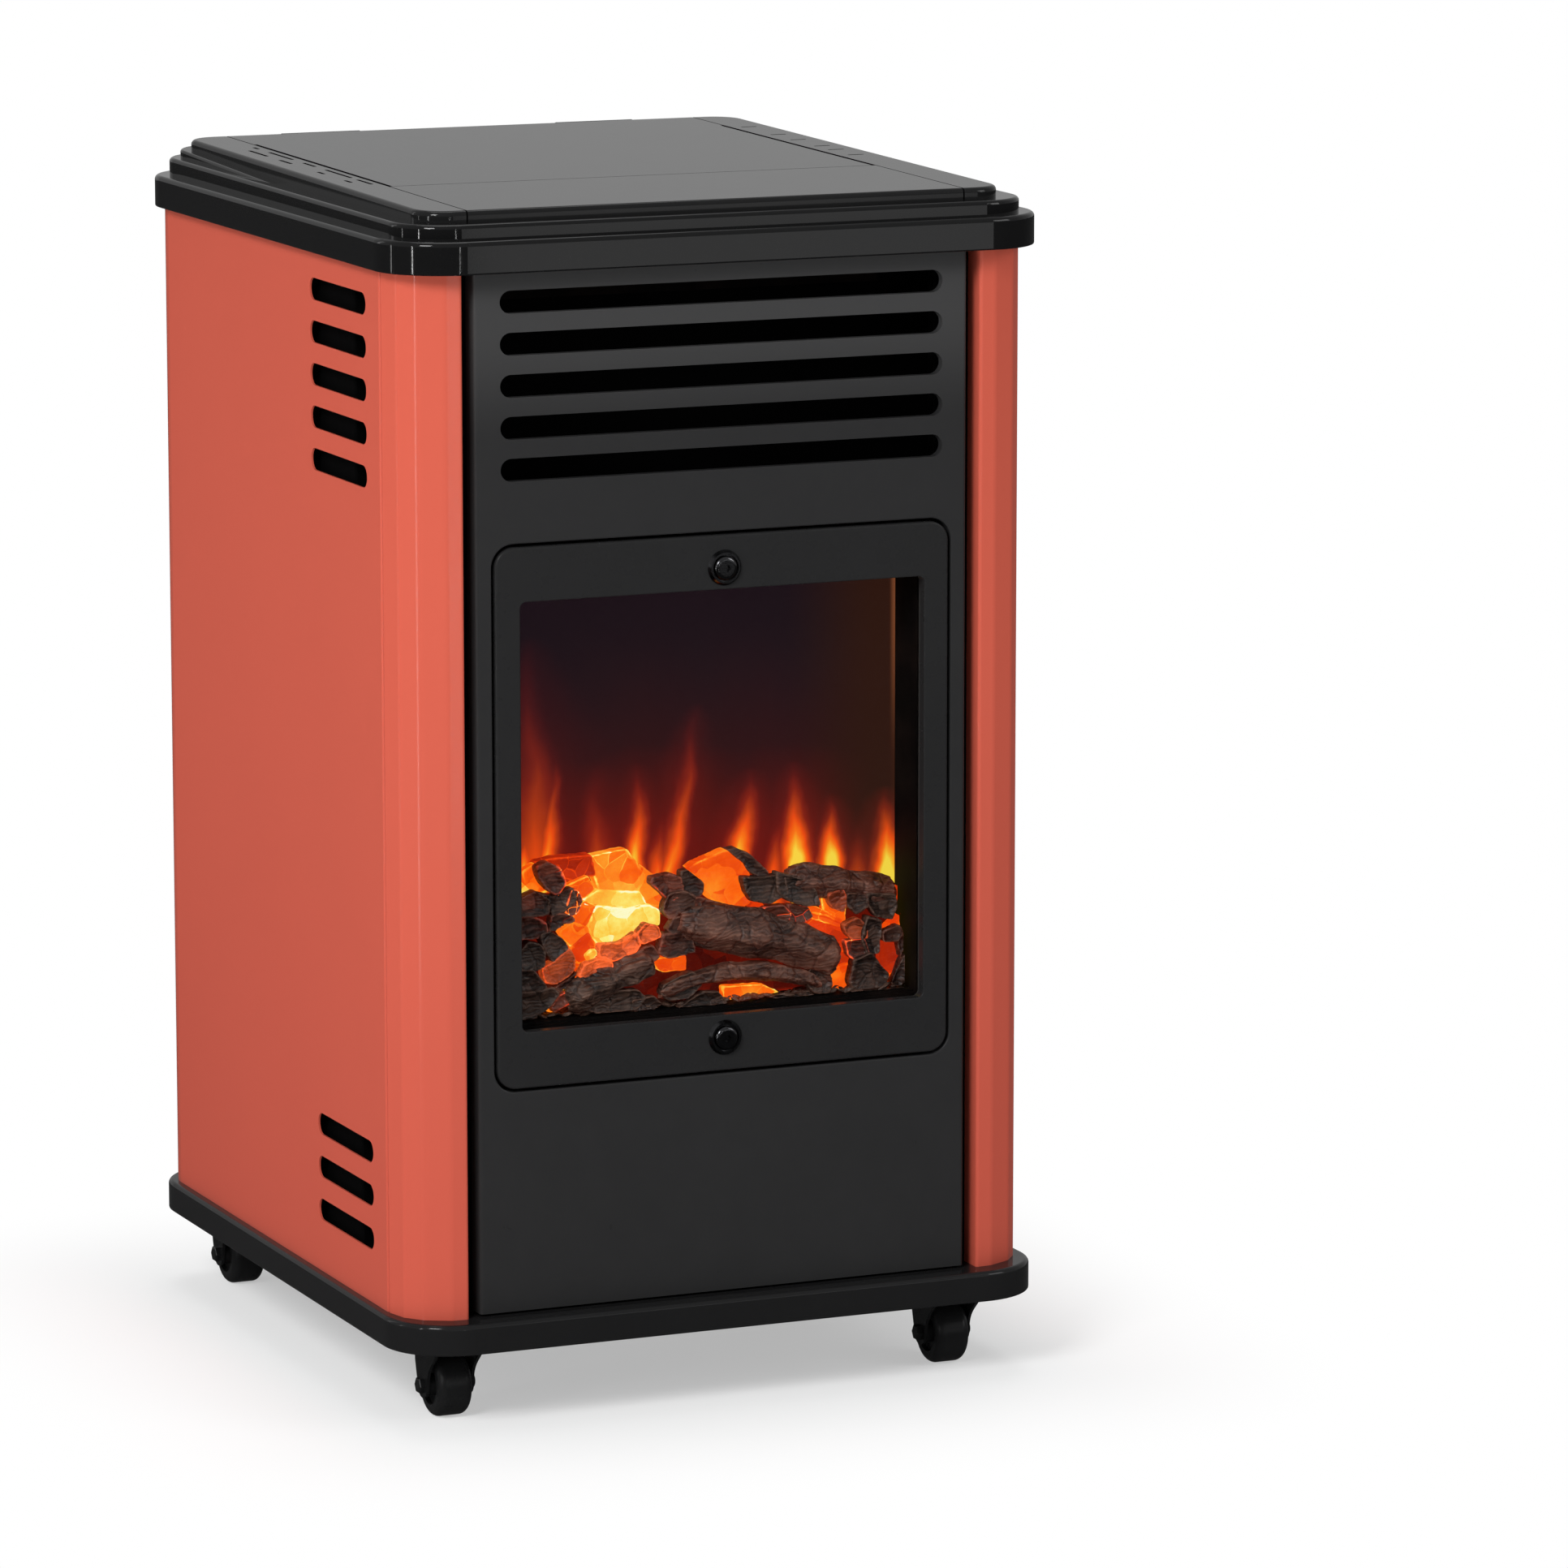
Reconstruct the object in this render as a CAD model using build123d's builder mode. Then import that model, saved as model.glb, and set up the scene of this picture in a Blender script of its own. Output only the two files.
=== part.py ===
"""Portable gas cabinet heater, as an assembly of separate pieces.

Millimetres. X runs across the front, left to right, Y runs from the front (-) to the back (+), Z is up.
The origin is on the floor, under the middle of the cabinet.
"""

import os
from math import cos, radians, sin

from build123d import *

os.makedirs("parts", exist_ok=True)

# ---------------------------------------------------------------- driving dimensions

WIDTH = 428.0               # rim and base, left to right
DEPTH = 476.0               # rim and base, front to back
HEIGHT = 750.0              # floor to the top of the lid at the back
CORNER_R = 43.0             # plan radius of the rim and the base
BASE_LOW, BASE_TOP = 51.5, 70.5
RIM_LOW, RIM_TOP = 707.5, 727.5

BODY_INSET = 6.2            # painted casing behind the edge of the base
SHEET = 1.2                 # painted sheet steel
PANEL_SETBACK = 16.4        # front panel behind the edge of the base
PANEL_HALF = 161.0
PANEL_LIFT = 1.6            # gap under the front panel
CHANNEL_DEPTH = 16.0        # dark channel between a column and the front panel
COLUMN_EDGE = 169.0         # inner edge of a corner column
COLUMN_PROUD = 2.0          # column face in front of the panel
COLUMN_WALL = 1.5

PANEL_Y = -DEPTH / 2 + PANEL_SETBACK
COLUMN_Y = PANEL_Y - COLUMN_PROUD
CHANNEL_Y = PANEL_Y + CHANNEL_DEPTH
BODY_X = WIDTH / 2 - BODY_INSET
BODY_REAR = DEPTH / 2 - BODY_INSET
BODY_R = CORNER_R - BODY_INSET
SEAM_Y = COLUMN_Y + BODY_R

# Front panel
LOUVRE_COUNT, LOUVRE_PITCH, LOUVRE_FIRST = 5, 25.2, 688.5
LOUVRE_LENGTH, LOUVRE_HEIGHT, LOUVRE_LIP = 289.2, 13.8, 5.5
FRAME_LOW, FRAME_HIGH, FRAME_HALF, FRAME_R = 210.1, 541.0, 148.8, 12.0
SIGHT_LOW, SIGHT_HIGH, SIGHT_HALF, SIGHT_R = 244.8, 507.6, 132.8, 4.0
FRAME_GROOVE = 2.0
FRAME_Z = (FRAME_LOW + FRAME_HIGH) / 2
SIGHT_Z = (SIGHT_LOW + SIGHT_HIGH) / 2
FRAME_SCREWS = (230.8, 520.9)

# Side panels
SIDE_SLOT_Y, SIDE_SLOT_LENGTH, SIDE_SLOT_HEIGHT = -115.0, 97.0, 13.6
UPPER_SLOTS = [684.0 - 26.1 * i for i in range(5)]
LOWER_SLOTS = [164.5 - 27.2 * i for i in range(3)]
REAR_OPENING = 159.0        # half width between the panels' rear edges
SIDE_FLANGE = 12.0
STUD_R, STUD_LENGTH = 3.0, 12.0     # studs of the rear cover
COVER_DEPTH = 4.0

# Castors
CASTOR_X, CASTOR_Y, CASTOR_TRAIL = 167.0, 187.0, 10.0
WHEEL_R, WHEEL_WIDTH, WHEEL_SHOULDER = 20.0, 22.0, 5.0
AXLE_R, AXLE_BORE_R = 3.0, 3.06
KINGPIN_R, KINGPIN_BORE_R = 4.0, 4.06
FORK_INSIDE, FORK_WALL = 27.0, 2.0
PAD_LOW, PAD_WIDTH = 61.0, 52.0     # pads that the castors bolt to
PLATE_THICK = 2.5
CROWN_LOW, CROWN_HIGH = 49.5, 52.3
SCREW_SPREAD, SCREW_HOLE_R = 30.0, 2.6

# Platform that the gas bottle stands on
BAY_HALF, BAY_FRONT, BAY_REAR, BAY_LIFT = 152.0, -98.0, 212.0, 1.5

# Firebox
GLASS_THICK, GASKET_THICK = 4.0, 2.5
LIP_DEPTH = 6.0             # frame lip behind the panel face
LINER_Y = CHANNEL_Y - SHEET
SCREEN_Y = PANEL_Y + 46.0
LINER_HALF, LINER_DEPTH, LINER_TOP = 135.0, 55.2, 562.0
BULKHEAD_Y = -122.0
SHIELD_X, SHIELD_REAR = 200.0, -58.0    # flanges of the bulkhead, which stand behind the side slots
CHANNEL_OUT, CHANNEL_IN = 186.0, 146.0
BURNER_Y, BURNER_Z, BURNER_R, BURNER_HALF = SCREEN_Y - 10, SIGHT_LOW - 22, 8.0, 122.0
SHELF_TOP = BURNER_Z - BURNER_R - 15.5
INJECTOR_X = -BURNER_HALF - 1
PILOT_Y = BURNER_Y + 14
FRONT_ROW, BACK_ROW, LOG_DEPTH = LINER_Y + 9.5, LINER_Y + 23.5, 13.0
TRAY_THICK, BED_THICK = 1.5, 2.0

# Top
TIER_INSET, WEDGE_INSET, UPPER_INSET = 9.5, 16.5, 23.5
TIER_FRONT, TIER_REAR = 736.5, 738.5
WEDGE_START, WEDGE_REAR = 10.0, 744.0
UPPER_FRONT, UPPER_REAR = 743.0, HEIGHT
SEAM_X = 162.0
LID_FRONT = -83.0
SEAM_GAP = 1.0
LID_SIDE_GAP = 3.0          # wider gap beside the lid, in front of the notch
NOTCH_Y = 160.0
HOUSING_WALL = 3.0
# Vent slots in the top caps: x, y, length, turn
DASH_WIDTH, DASH_DEPTH = 2.4, 1.4
LEFT_DASHES = [
    (-167.5, 140, 10, 90),
    (-167.5, 94, 44, 90),
    (-167.5, 42, 22, 90),
    (-167.5, -10, 46, 90),
    (-167.5, -56, 26, 90),
    (-176.0, 112, 34, 90),
    (-176.0, 62, 22, 90),
    (-176.0, -2, 12, 90),
    (-176.0, -50, 12, 90),
]
RIGHT_DASHES = [(174.0, y, 11, 0) for y in (146, 98, 66, 28, 6, -25)]
WELL_HALF, WELL_FRONT, WELL_REAR, WELL_FLOOR = 121.5, -68.0, 150.0, 701.0
HINGE_Y, HINGE_Z, HINGE_X = 219.0, 745.0, 95.0
HINGE_PIN_R, HINGE_BORE_R, KNUCKLE_R = 2.0, 2.06, 4.2
HINGE_PIN_HALF, KNUCKLE_HALF = 26.5, 16.0

# Controls
KNOB_X, KNOB_Y, IGNITER_X = -48.0, -20.0, 48.0
KNOB_R, KNOB_LOW, KNOB_HIGH = 22.0, 708.0, 727.0
IGNITER_LOW = 650.0
FASCIA_THICK = 2.0
NECK_R, IGNITER_R = 6.5, 10.0
SPINDLE_R, SPINDLE_BORE_R = 4.0, 4.06
PLUNGER_R, PLUNGER_BORE_R, PLUNGER_LOW, PLUNGER_HIGH = 5.0, 5.06, 664.0, 674.0
BUTTON_R, BUTTON_BORE_R, BUTTON_HIGH = 8.0, 8.08, 713.0
VALVE_LOW, VALVE_HIGH, VALVE_HALF = 654.0, 686.0, 16.0
PIPE_Z = 668.0              # feed, pilot and thermocouple leave the valve at this height
PIPE_Y = BULKHEAD_Y + 10    # they run down behind the bulkhead
LEAD_Z = 636.0              # ignition lead turns forward at this height
FEED_R, PILOT_PIPE_R, PROBE_PIPE_R, LEAD_R = 4.0, 2.0, 1.3, 1.5
PILOT_PIPE_Z, PROBE_PIPE_Z, LEAD_LOW = 210.0, 206.0, 202.0
INLET_R, INLET_LENGTH = 9.6, 12.0
CHASSIS_SCREWS = [(x, z) for x in (-151.5, 151.5) for z in (232.0, 376.0, 520.0)]
CATCHES = [(x, z) for x in (-166.6, 166.6) for z in (130.0, 390.0, 650.0)]

# Ceramic pieces of each node: row, middle line (x, z), thickness, end swell
LOGS = {
    "log_centre": [
        (FRONT_ROW, [(-17, 297), (84, 269)], 26, 0.75),
        (FRONT_ROW, [(-32, 256), (20, 265), (72, 255)], 10, 0.85),
    ],
    "log_right_rear": [
        (BACK_ROW, [(58, 321), (124, 307)], 24, 0.7),
        (FRONT_ROW, [(36, 318), (70, 307)], 18, 0.75),
    ],
    "log_left_front": [(FRONT_ROW, [(-92, 258), (-41, 277)], 17, 0.8)],
    "ember_blocks": [
        (BACK_ROW, [(-102, 317), (-34, 317)], 46, 0.75),
        (BACK_ROW, [(-5, 323), (30, 323)], 30, 0.75),
        (FRONT_ROW, [(-80, 279), (-34, 298)], 13, 0.8),
        (FRONT_ROW, [(-115, 262), (-110, 316)], 24, 0.75),
        (BACK_ROW, [(72, 284), (98, 264)], 26, 0.8),
        (FRONT_ROW, [(116, 262), (120, 292)], 22, 0.75),
    ],
}

CORNERS = [
    ("front_left", -1, -1),
    ("front_right", 1, -1),
    ("rear_left", -1, 1),
    ("rear_right", 1, 1),
]
SIDES = [("left", -1), ("right", 1)]


# ---------------------------------------------------------------- helpers

def keep(builder, name):
    """Label a finished piece and write it."""
    builder.part.label = name
    export_step(builder.part, f"parts/{name}.step")


def front_plane(y):
    """Sketch plane facing the back, with local X across and local Y up, at depth y."""
    return Plane(origin=(0, y, 0), x_dir=(1, 0, 0), z_dir=(0, -1, 0))


def side_plane(x):
    """Sketch plane with local X along the depth and local Y up, facing +X."""
    return Plane(origin=(x, 0, 0), x_dir=(0, 1, 0), z_dir=(1, 0, 0))


def folded_sheet(points, radii, thickness, low, high, side):
    """Upright sheet whose plan is a polyline with bent corners."""
    with BuildSketch(Plane.XY.offset(low)) as plan:
        with BuildLine():
            FilletPolyline(*points, radius=radii)
            offset(amount=thickness, side=side)
        make_face()
    extrude(plan.sketch, amount=high - low)


def slab(width, depth, radius, low, high, mode=Mode.ADD):
    """Horizontal plate with rounded corners, centred on the origin."""
    with BuildSketch(Plane.XY.offset(low)) as plan:
        RectangleRounded(width, depth, radius)
    extrude(plan.sketch, amount=high - low, mode=mode)


def block(x, y, z, mode=Mode.ADD):
    """Box between pairs of limits."""
    with BuildSketch(Plane.XY.offset(z[0])) as plan:
        with Locations(((x[0] + x[1]) / 2, (y[0] + y[1]) / 2)):
            Rectangle(x[1] - x[0], y[1] - y[0])
    extrude(plan.sketch, amount=z[1] - z[0], mode=mode)


def upright(x, y, radius, low, high, mode=Mode.ADD):
    """Vertical cylinder."""
    with BuildSketch(Plane.XY.offset(low)) as plan:
        with Locations((x, y)):
            Circle(radius)
    extrude(plan.sketch, amount=high - low, mode=mode)


def pipe(points, radii, outer, inner=0):
    """Bent tube along straight runs joined by arcs."""
    with BuildLine() as route:
        FilletPolyline(*points, radius=radii)
    path = route.wires()[0]
    with BuildSketch(Plane(origin=path @ 0, z_dir=path % 0)) as section:
        Circle(outer)
        if inner:
            Circle(inner, mode=Mode.SUBTRACT)
    sweep(section.sketch, path=path)


def rise(y, front, rear):
    """Height at depth y on a surface that climbs from the front edge of the rim to its rear edge."""
    return front + (rear - front) * (y + DEPTH / 2) / DEPTH


def sloped_box(x, y, low, front, rear, mode=Mode.ADD):
    """Box between pairs of limits, under a surface that climbs from front to rear."""
    with BuildSketch(side_plane(x[0])) as profile:
        with BuildLine():
            Polyline(
                (y[0], low), (y[1], low), (y[1], rise(y[1], front, rear)), (y[0], rise(y[0], front, rear)), close=True
            )
        make_face()
    extrude(profile.sketch, amount=x[1] - x[0], mode=mode)


def sloped_slab(inset, low, front, rear, edge_r, mode=Mode.ADD):
    """Rounded slab, inset from the rim, under a surface that climbs from front to rear."""
    with BuildPart(mode=Mode.PRIVATE) as slope:
        slab(WIDTH - 2 * inset, DEPTH - 2 * inset, CORNER_R - inset, low, HEIGHT + 10)
        sloped_box((-WIDTH / 2, WIDTH / 2), (-DEPTH / 2, DEPTH / 2), low, front, rear, Mode.INTERSECT)
        fillet(slope.faces().sort_by(Axis.Z)[-1].edges(), radius=edge_r)
    add(slope.part, mode=mode)


# ---------------------------------------------------------------- base and castors

def make_base_tray():
    wall, deck, half_rib = 3.0, 3.5, 1.5
    bay_depth = BAY_REAR - BAY_FRONT
    with BuildPart() as base_tray:
        slab(WIDTH, DEPTH, CORNER_R, BASE_LOW, BASE_TOP)
        fillet(base_tray.faces().sort_by(Axis.Z)[-1].edges(), radius=3.0)
        fillet(base_tray.faces().sort_by(Axis.Z)[0].edges(), radius=1.0)
        slab(WIDTH - 2 * wall, DEPTH - 2 * wall, CORNER_R - wall, BASE_LOW, BASE_TOP - deck, Mode.SUBTRACT)
        with BuildSketch(Plane.XY.offset(PAD_LOW)):
            with Locations(*[(x * CASTOR_X, y * CASTOR_Y) for _, x, y in CORNERS]):
                RectangleRounded(PAD_WIDTH, PAD_WIDTH, 6)
        extrude(amount=BASE_TOP - deck - PAD_LOW)
        # Stiffening ribs between the pads, and floor vents that let stray gas out
        for x in (-CASTOR_X, CASTOR_X):
            rib_y = (-CASTOR_Y + PAD_WIDTH / 2, CASTOR_Y - PAD_WIDTH / 2)
            block((x - half_rib, x + half_rib), rib_y, (PAD_LOW, BASE_TOP - deck))
        for y in (-CASTOR_Y, CASTOR_Y):
            rib_x = (-CASTOR_X + PAD_WIDTH / 2, CASTOR_X - PAD_WIDTH / 2)
            block(rib_x, (y - half_rib, y + half_rib), (PAD_LOW, BASE_TOP - deck))
        # Platform for the bottle
        with BuildSketch(Plane.XY.offset(BASE_TOP)):
            with Locations((0, (BAY_FRONT + BAY_REAR) / 2)):
                RectangleRounded(2 * BAY_HALF, bay_depth, 12)
        extrude(amount=BAY_LIFT)
        with BuildSketch(Plane.XY.offset(BASE_TOP - deck)):
            with GridLocations(90, 26, 3, 7):
                SlotOverall(64, 7)
        extrude(amount=deck + BAY_LIFT, mode=Mode.SUBTRACT)
    keep(base_tray, "base_tray")


def make_castors():
    """Four swivel castors. A fork trails its wheel behind the kingpin."""
    plate_width, socket_r = 44.0, 14.0
    plate_low = PAD_LOW - PLATE_THICK
    rivet_r, rivet_thick, rivet_top = 6.5, 2.2, CROWN_LOW - 0.4
    head_r, head_high, shank_r = 4.4, 2.2, 2.5
    with BuildPart() as castor_plates:
        for _, side, end in CORNERS:
            x, y = side * CASTOR_X, end * CASTOR_Y
            with BuildSketch(Plane.XY.offset(plate_low)):
                with Locations((x, y)):
                    RectangleRounded(plate_width, plate_width, 5)
            extrude(amount=PLATE_THICK)
            with BuildSketch(Plane.XY.offset(plate_low)):
                with Locations((x, y)):
                    Circle(socket_r)
            extrude(amount=-(plate_low - CROWN_HIGH - 0.3), taper=20)
            upright(x, y, KINGPIN_R, rivet_top, plate_low)
            upright(x, y, rivet_r, rivet_top - rivet_thick, rivet_top)
            with BuildSketch(Plane.XY.offset(plate_low)):
                with Locations((x, y)):
                    with GridLocations(SCREW_SPREAD, SCREW_SPREAD, 2, 2):
                        Circle(SCREW_HOLE_R)
            extrude(amount=PLATE_THICK, mode=Mode.SUBTRACT)
    keep(castor_plates, "castor_plates")

    with BuildPart() as casing_screws:
        for _, side, end in CORNERS:
            with BuildSketch(Plane.XY.offset(plate_low)):
                with Locations((side * CASTOR_X, end * CASTOR_Y)):
                    with GridLocations(SCREW_SPREAD, SCREW_SPREAD, 2, 2):
                        Circle(shank_r)
            extrude(amount=PAD_LOW - plate_low)
            with BuildSketch(Plane.XY.offset(plate_low)):
                with Locations((side * CASTOR_X, end * CASTOR_Y)):
                    with GridLocations(SCREW_SPREAD, SCREW_SPREAD, 2, 2):
                        Circle(head_r)
            extrude(amount=-head_high, taper=25)
        # Screws that hold the firebox liner to the chassis channels
        with BuildSketch(front_plane(LINER_Y)):
            with Locations(*CHASSIS_SCREWS):
                Circle(head_r)
        extrude(amount=head_high, taper=20)
        with BuildSketch(front_plane(LINER_Y)):
            with Locations(*CHASSIS_SCREWS):
                Circle(shank_r - 0.1)
        extrude(amount=-SHEET)
    keep(casing_screws, "casing_screws")

    for name, side, end in CORNERS:
        x, y = side * CASTOR_X, end * CASTOR_Y
        axle_y = y + CASTOR_TRAIL
        make_fork(f"castor_fork_{name}", x, y, axle_y)
        make_axle(f"castor_axle_{name}", x, axle_y)
        make_wheel(f"castor_wheel_{name}", x, axle_y)


def make_fork(name, x, y, axle_y):
    outside = FORK_INSIDE / 2 + FORK_WALL
    crown_front, crown_rear, foot_r = y - 15, axle_y + 12, 8.0
    with BuildPart() as fork:
        with BuildSketch(side_plane(x - outside)):
            with BuildLine():
                Line((crown_rear, CROWN_HIGH), (crown_front, CROWN_HIGH))
                Line((crown_front, CROWN_HIGH), (crown_front, CROWN_LOW - 4))
                brow = Spline(
                    (crown_front, CROWN_LOW - 4),
                    (axle_y - foot_r, WHEEL_R),
                    tangents=[(0.6, -1), (0, -1)],
                )
                foot = ThreePointArc(
                    (axle_y - foot_r, WHEEL_R), (axle_y, WHEEL_R - foot_r), (axle_y + foot_r, WHEEL_R)
                )
                Line((axle_y + foot_r, WHEEL_R), (crown_rear, WHEEL_R + 14))
                Line((crown_rear, WHEEL_R + 14), (crown_rear, CROWN_HIGH))
            make_face()
        extrude(amount=2 * outside)
        fillet(fork.edges().filter_by(Axis.Z).group_by(Axis.Y)[0], radius=4)
        # Room for the wheel between the cheeks, open below the crown
        block(
            (x - FORK_INSIDE / 2, x + FORK_INSIDE / 2), (crown_front - 5, crown_rear + 5), (0, CROWN_LOW), Mode.SUBTRACT
        )
        upright(x, y, KINGPIN_BORE_R, CROWN_LOW, CROWN_HIGH, Mode.SUBTRACT)
        with BuildSketch(side_plane(x - outside)):
            with Locations((axle_y, WHEEL_R)):
                Circle(AXLE_R)
        extrude(amount=2 * outside, mode=Mode.SUBTRACT)
    keep(fork, name)


def make_axle(name, x, axle_y):
    outside, head_r = FORK_INSIDE / 2 + FORK_WALL, 5.2
    nut_high, head_high = 3.4, 2.6
    with BuildPart() as axle:
        with BuildSketch(side_plane(x - outside)):
            with Locations((axle_y, WHEEL_R)):
                Circle(AXLE_R)
        extrude(amount=2 * outside)
        with BuildSketch(side_plane(x - outside)):
            with Locations((axle_y, WHEEL_R)):
                RegularPolygon(head_r, 6)
        extrude(amount=-nut_high)
        fillet(axle.faces().sort_by(Axis.X)[0].edges(), radius=1.2)
        with BuildSketch(side_plane(x + outside)):
            with Locations((axle_y, WHEEL_R)):
                Circle(head_r)
        extrude(amount=head_high)
        fillet(axle.faces().sort_by(Axis.X)[-1].edges(), radius=2.0)
    keep(axle, name)


def make_wheel(name, x, axle_y):
    half, hub_half, hub_r = WHEEL_WIDTH / 2, FORK_INSIDE / 2 - 0.5, 7.0
    recess, recess_r = 3.0, 12.5
    with BuildPart() as wheel:
        with BuildSketch(side_plane(x - half)):
            with Locations((axle_y, WHEEL_R)):
                Circle(WHEEL_R)
        extrude(amount=WHEEL_WIDTH)
        fillet(wheel.edges().filter_by(GeomType.CIRCLE), radius=WHEEL_SHOULDER)
        for face_x, way in ((x - half, 1), (x + half, -1)):
            with BuildSketch(side_plane(face_x)):
                with Locations((axle_y, WHEEL_R)):
                    Circle(recess_r)
            extrude(amount=way * recess, mode=Mode.SUBTRACT)
        with BuildSketch(side_plane(x - hub_half)):
            with Locations((axle_y, WHEEL_R)):
                Circle(hub_r)
        extrude(amount=2 * hub_half)
        with BuildSketch(side_plane(x - hub_half)):
            with Locations((axle_y, WHEEL_R)):
                Circle(AXLE_BORE_R)
        extrude(amount=2 * hub_half, mode=Mode.SUBTRACT)
    keep(wheel, name)


# ---------------------------------------------------------------- casing

def column_outline():
    """Facet corners of the left column, from the seam on the side to its inner edge."""
    facet_angles = (0, 27, 49, 76)
    centre_x, centre_y = -BODY_X + BODY_R, COLUMN_Y + BODY_R
    arc = [
        (centre_x - BODY_R * cos(radians(a)), centre_y - BODY_R * sin(radians(a)))
        for a in facet_angles
    ]
    return [*arc, (-COLUMN_EDGE, COLUMN_Y), (-COLUMN_EDGE, CHANNEL_Y)]


def make_side_panels():
    flange_x, seam_gap = -BODY_X + SIDE_FLANGE, 0.3
    plan = [
        (flange_x, SEAM_Y + seam_gap),
        (-BODY_X, SEAM_Y + seam_gap),
        (-BODY_X, BODY_REAR),
        (-REAR_OPENING, BODY_REAR),
        (-REAR_OPENING, BODY_REAR - SIDE_FLANGE),
    ]
    for name, side in SIDES:
        with BuildPart() as side_panel:
            folded_sheet(
                [(-side * x, y) for x, y in plan],
                [1.6, BODY_R, 2.0],
                SHEET,
                BASE_TOP,
                RIM_LOW,
                Side.RIGHT if side < 0 else Side.LEFT,
            )
            for z in UPPER_SLOTS + LOWER_SLOTS:
                with BuildSketch(side_plane(side * (BODY_X + 2))):
                    with Locations((SIDE_SLOT_Y, z)):
                        SlotOverall(SIDE_SLOT_LENGTH, SIDE_SLOT_HEIGHT)
                extrude(amount=-side * 8, mode=Mode.SUBTRACT)
            # Holes that the rear cover's studs pass through
            with BuildSketch(front_plane(BODY_REAR + 2)):
                with Locations(*CATCHES):
                    Circle(STUD_R + 0.6)
            extrude(amount=4, mode=Mode.SUBTRACT)
        keep(side_panel, f"{name}_side_panel")


def make_corner_columns():
    plan = [(-BODY_X + SIDE_FLANGE, SEAM_Y), *column_outline()]
    bends = [1.6, 6.0, 8.0, 8.0, 1.8]
    for name, side in SIDES:
        with BuildPart() as column:
            folded_sheet(
                [(-side * x, y) for x, y in plan],
                bends,
                COLUMN_WALL,
                BASE_TOP,
                RIM_LOW,
                Side.LEFT if side < 0 else Side.RIGHT,
            )
        keep(column, f"{name}_corner_column")


def make_front_panel():
    panel_back, bend, collar_depth = PANEL_Y + 14, 2.4, 9.0
    opening_half = FRAME_HALF + FRAME_GROOVE
    opening_high = FRAME_HIGH - FRAME_LOW + 2 * FRAME_GROOVE
    collar = 1.4
    louvres = [(0, LOUVRE_FIRST - LOUVRE_PITCH * i) for i in range(LOUVRE_COUNT)]
    with BuildPart() as front_panel:
        folded_sheet(
            [(-PANEL_HALF, panel_back), (-PANEL_HALF, PANEL_Y), (PANEL_HALF, PANEL_Y), (PANEL_HALF, panel_back)],
            [bend, bend],
            SHEET,
            BASE_TOP + PANEL_LIFT,
            RIM_LOW,
            Side.LEFT,
        )
        # Collars turned back round the window opening and the louvre slots
        with BuildSketch(front_plane(PANEL_Y)):
            with Locations((0, FRAME_Z)):
                RectangleRounded(
                    2 * (opening_half + collar), opening_high + 2 * collar, FRAME_R + FRAME_GROOVE + collar
                )
        extrude(amount=-collar_depth)
        with BuildSketch(front_plane(PANEL_Y)):
            with Locations(*louvres):
                SlotOverall(LOUVRE_LENGTH + 2 * collar, LOUVRE_HEIGHT + 2 * collar)
        extrude(amount=-LOUVRE_LIP)
        with BuildSketch(front_plane(PANEL_Y)):
            with Locations((0, FRAME_Z)):
                RectangleRounded(2 * opening_half, opening_high, FRAME_R + FRAME_GROOVE)
            with Locations(*louvres):
                SlotOverall(LOUVRE_LENGTH, LOUVRE_HEIGHT)
        extrude(amount=-collar_depth, mode=Mode.SUBTRACT)
        face = front_panel.faces().filter_by(Axis.Y).sort_by(Axis.Y)[0]
        slot_edges = [edge for wire in face.inner_wires() for edge in wire.edges()]
        fillet(slot_edges, radius=1.0)
    keep(front_panel, "front_panel")


def make_chassis_channels():
    """Two folded posts behind the gaps, whose outer wings shield the side panels as far as the bulkhead."""
    plan = [
        (-CHANNEL_OUT, BULKHEAD_Y - 2),
        (-CHANNEL_OUT, CHANNEL_Y),
        (-CHANNEL_IN, CHANNEL_Y),
        (-CHANNEL_IN, CHANNEL_Y + 8),
    ]
    with BuildPart() as chassis_channels:
        for _, side in SIDES:
            folded_sheet(
                [(-side * x, y) for x, y in plan],
                [2.0, 2.0],
                SHEET,
                BASE_TOP,
                RIM_LOW,
                Side.LEFT if side < 0 else Side.RIGHT,
            )
    keep(chassis_channels, "chassis_channels")


def make_rear_bulkhead():
    """Wall between the hot side and the bottle bay. Its flanges turn back along the side panels."""
    foot_x = BODY_X - SHEET - 0.2
    with BuildPart() as rear_bulkhead:
        folded_sheet(
            [
                (-foot_x, SHIELD_REAR),
                (-SHIELD_X, SHIELD_REAR),
                (-SHIELD_X, BULKHEAD_Y),
                (SHIELD_X, BULKHEAD_Y),
                (SHIELD_X, SHIELD_REAR),
                (foot_x, SHIELD_REAR),
            ],
            [2.0, 2.0, 2.0, 2.0],
            SHEET,
            BASE_TOP,
            RIM_LOW,
            Side.LEFT,
        )
        # Holes for the three pipes and the ignition lead
        with BuildSketch(front_plane(BULKHEAD_Y - 5)):
            for place, radius in (
                ((KNOB_X, BURNER_Z), FEED_R),
                ((KNOB_X + 12, PILOT_PIPE_Z), PILOT_PIPE_R),
                ((KNOB_X + 24, PROBE_PIPE_Z), PROBE_PIPE_R),
                ((IGNITER_X, LEAD_LOW), LEAD_R),
            ):
                with Locations(place):
                    Circle(radius + 1.0)
        extrude(amount=-10, mode=Mode.SUBTRACT)
    keep(rear_bulkhead, "rear_bulkhead")


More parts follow.
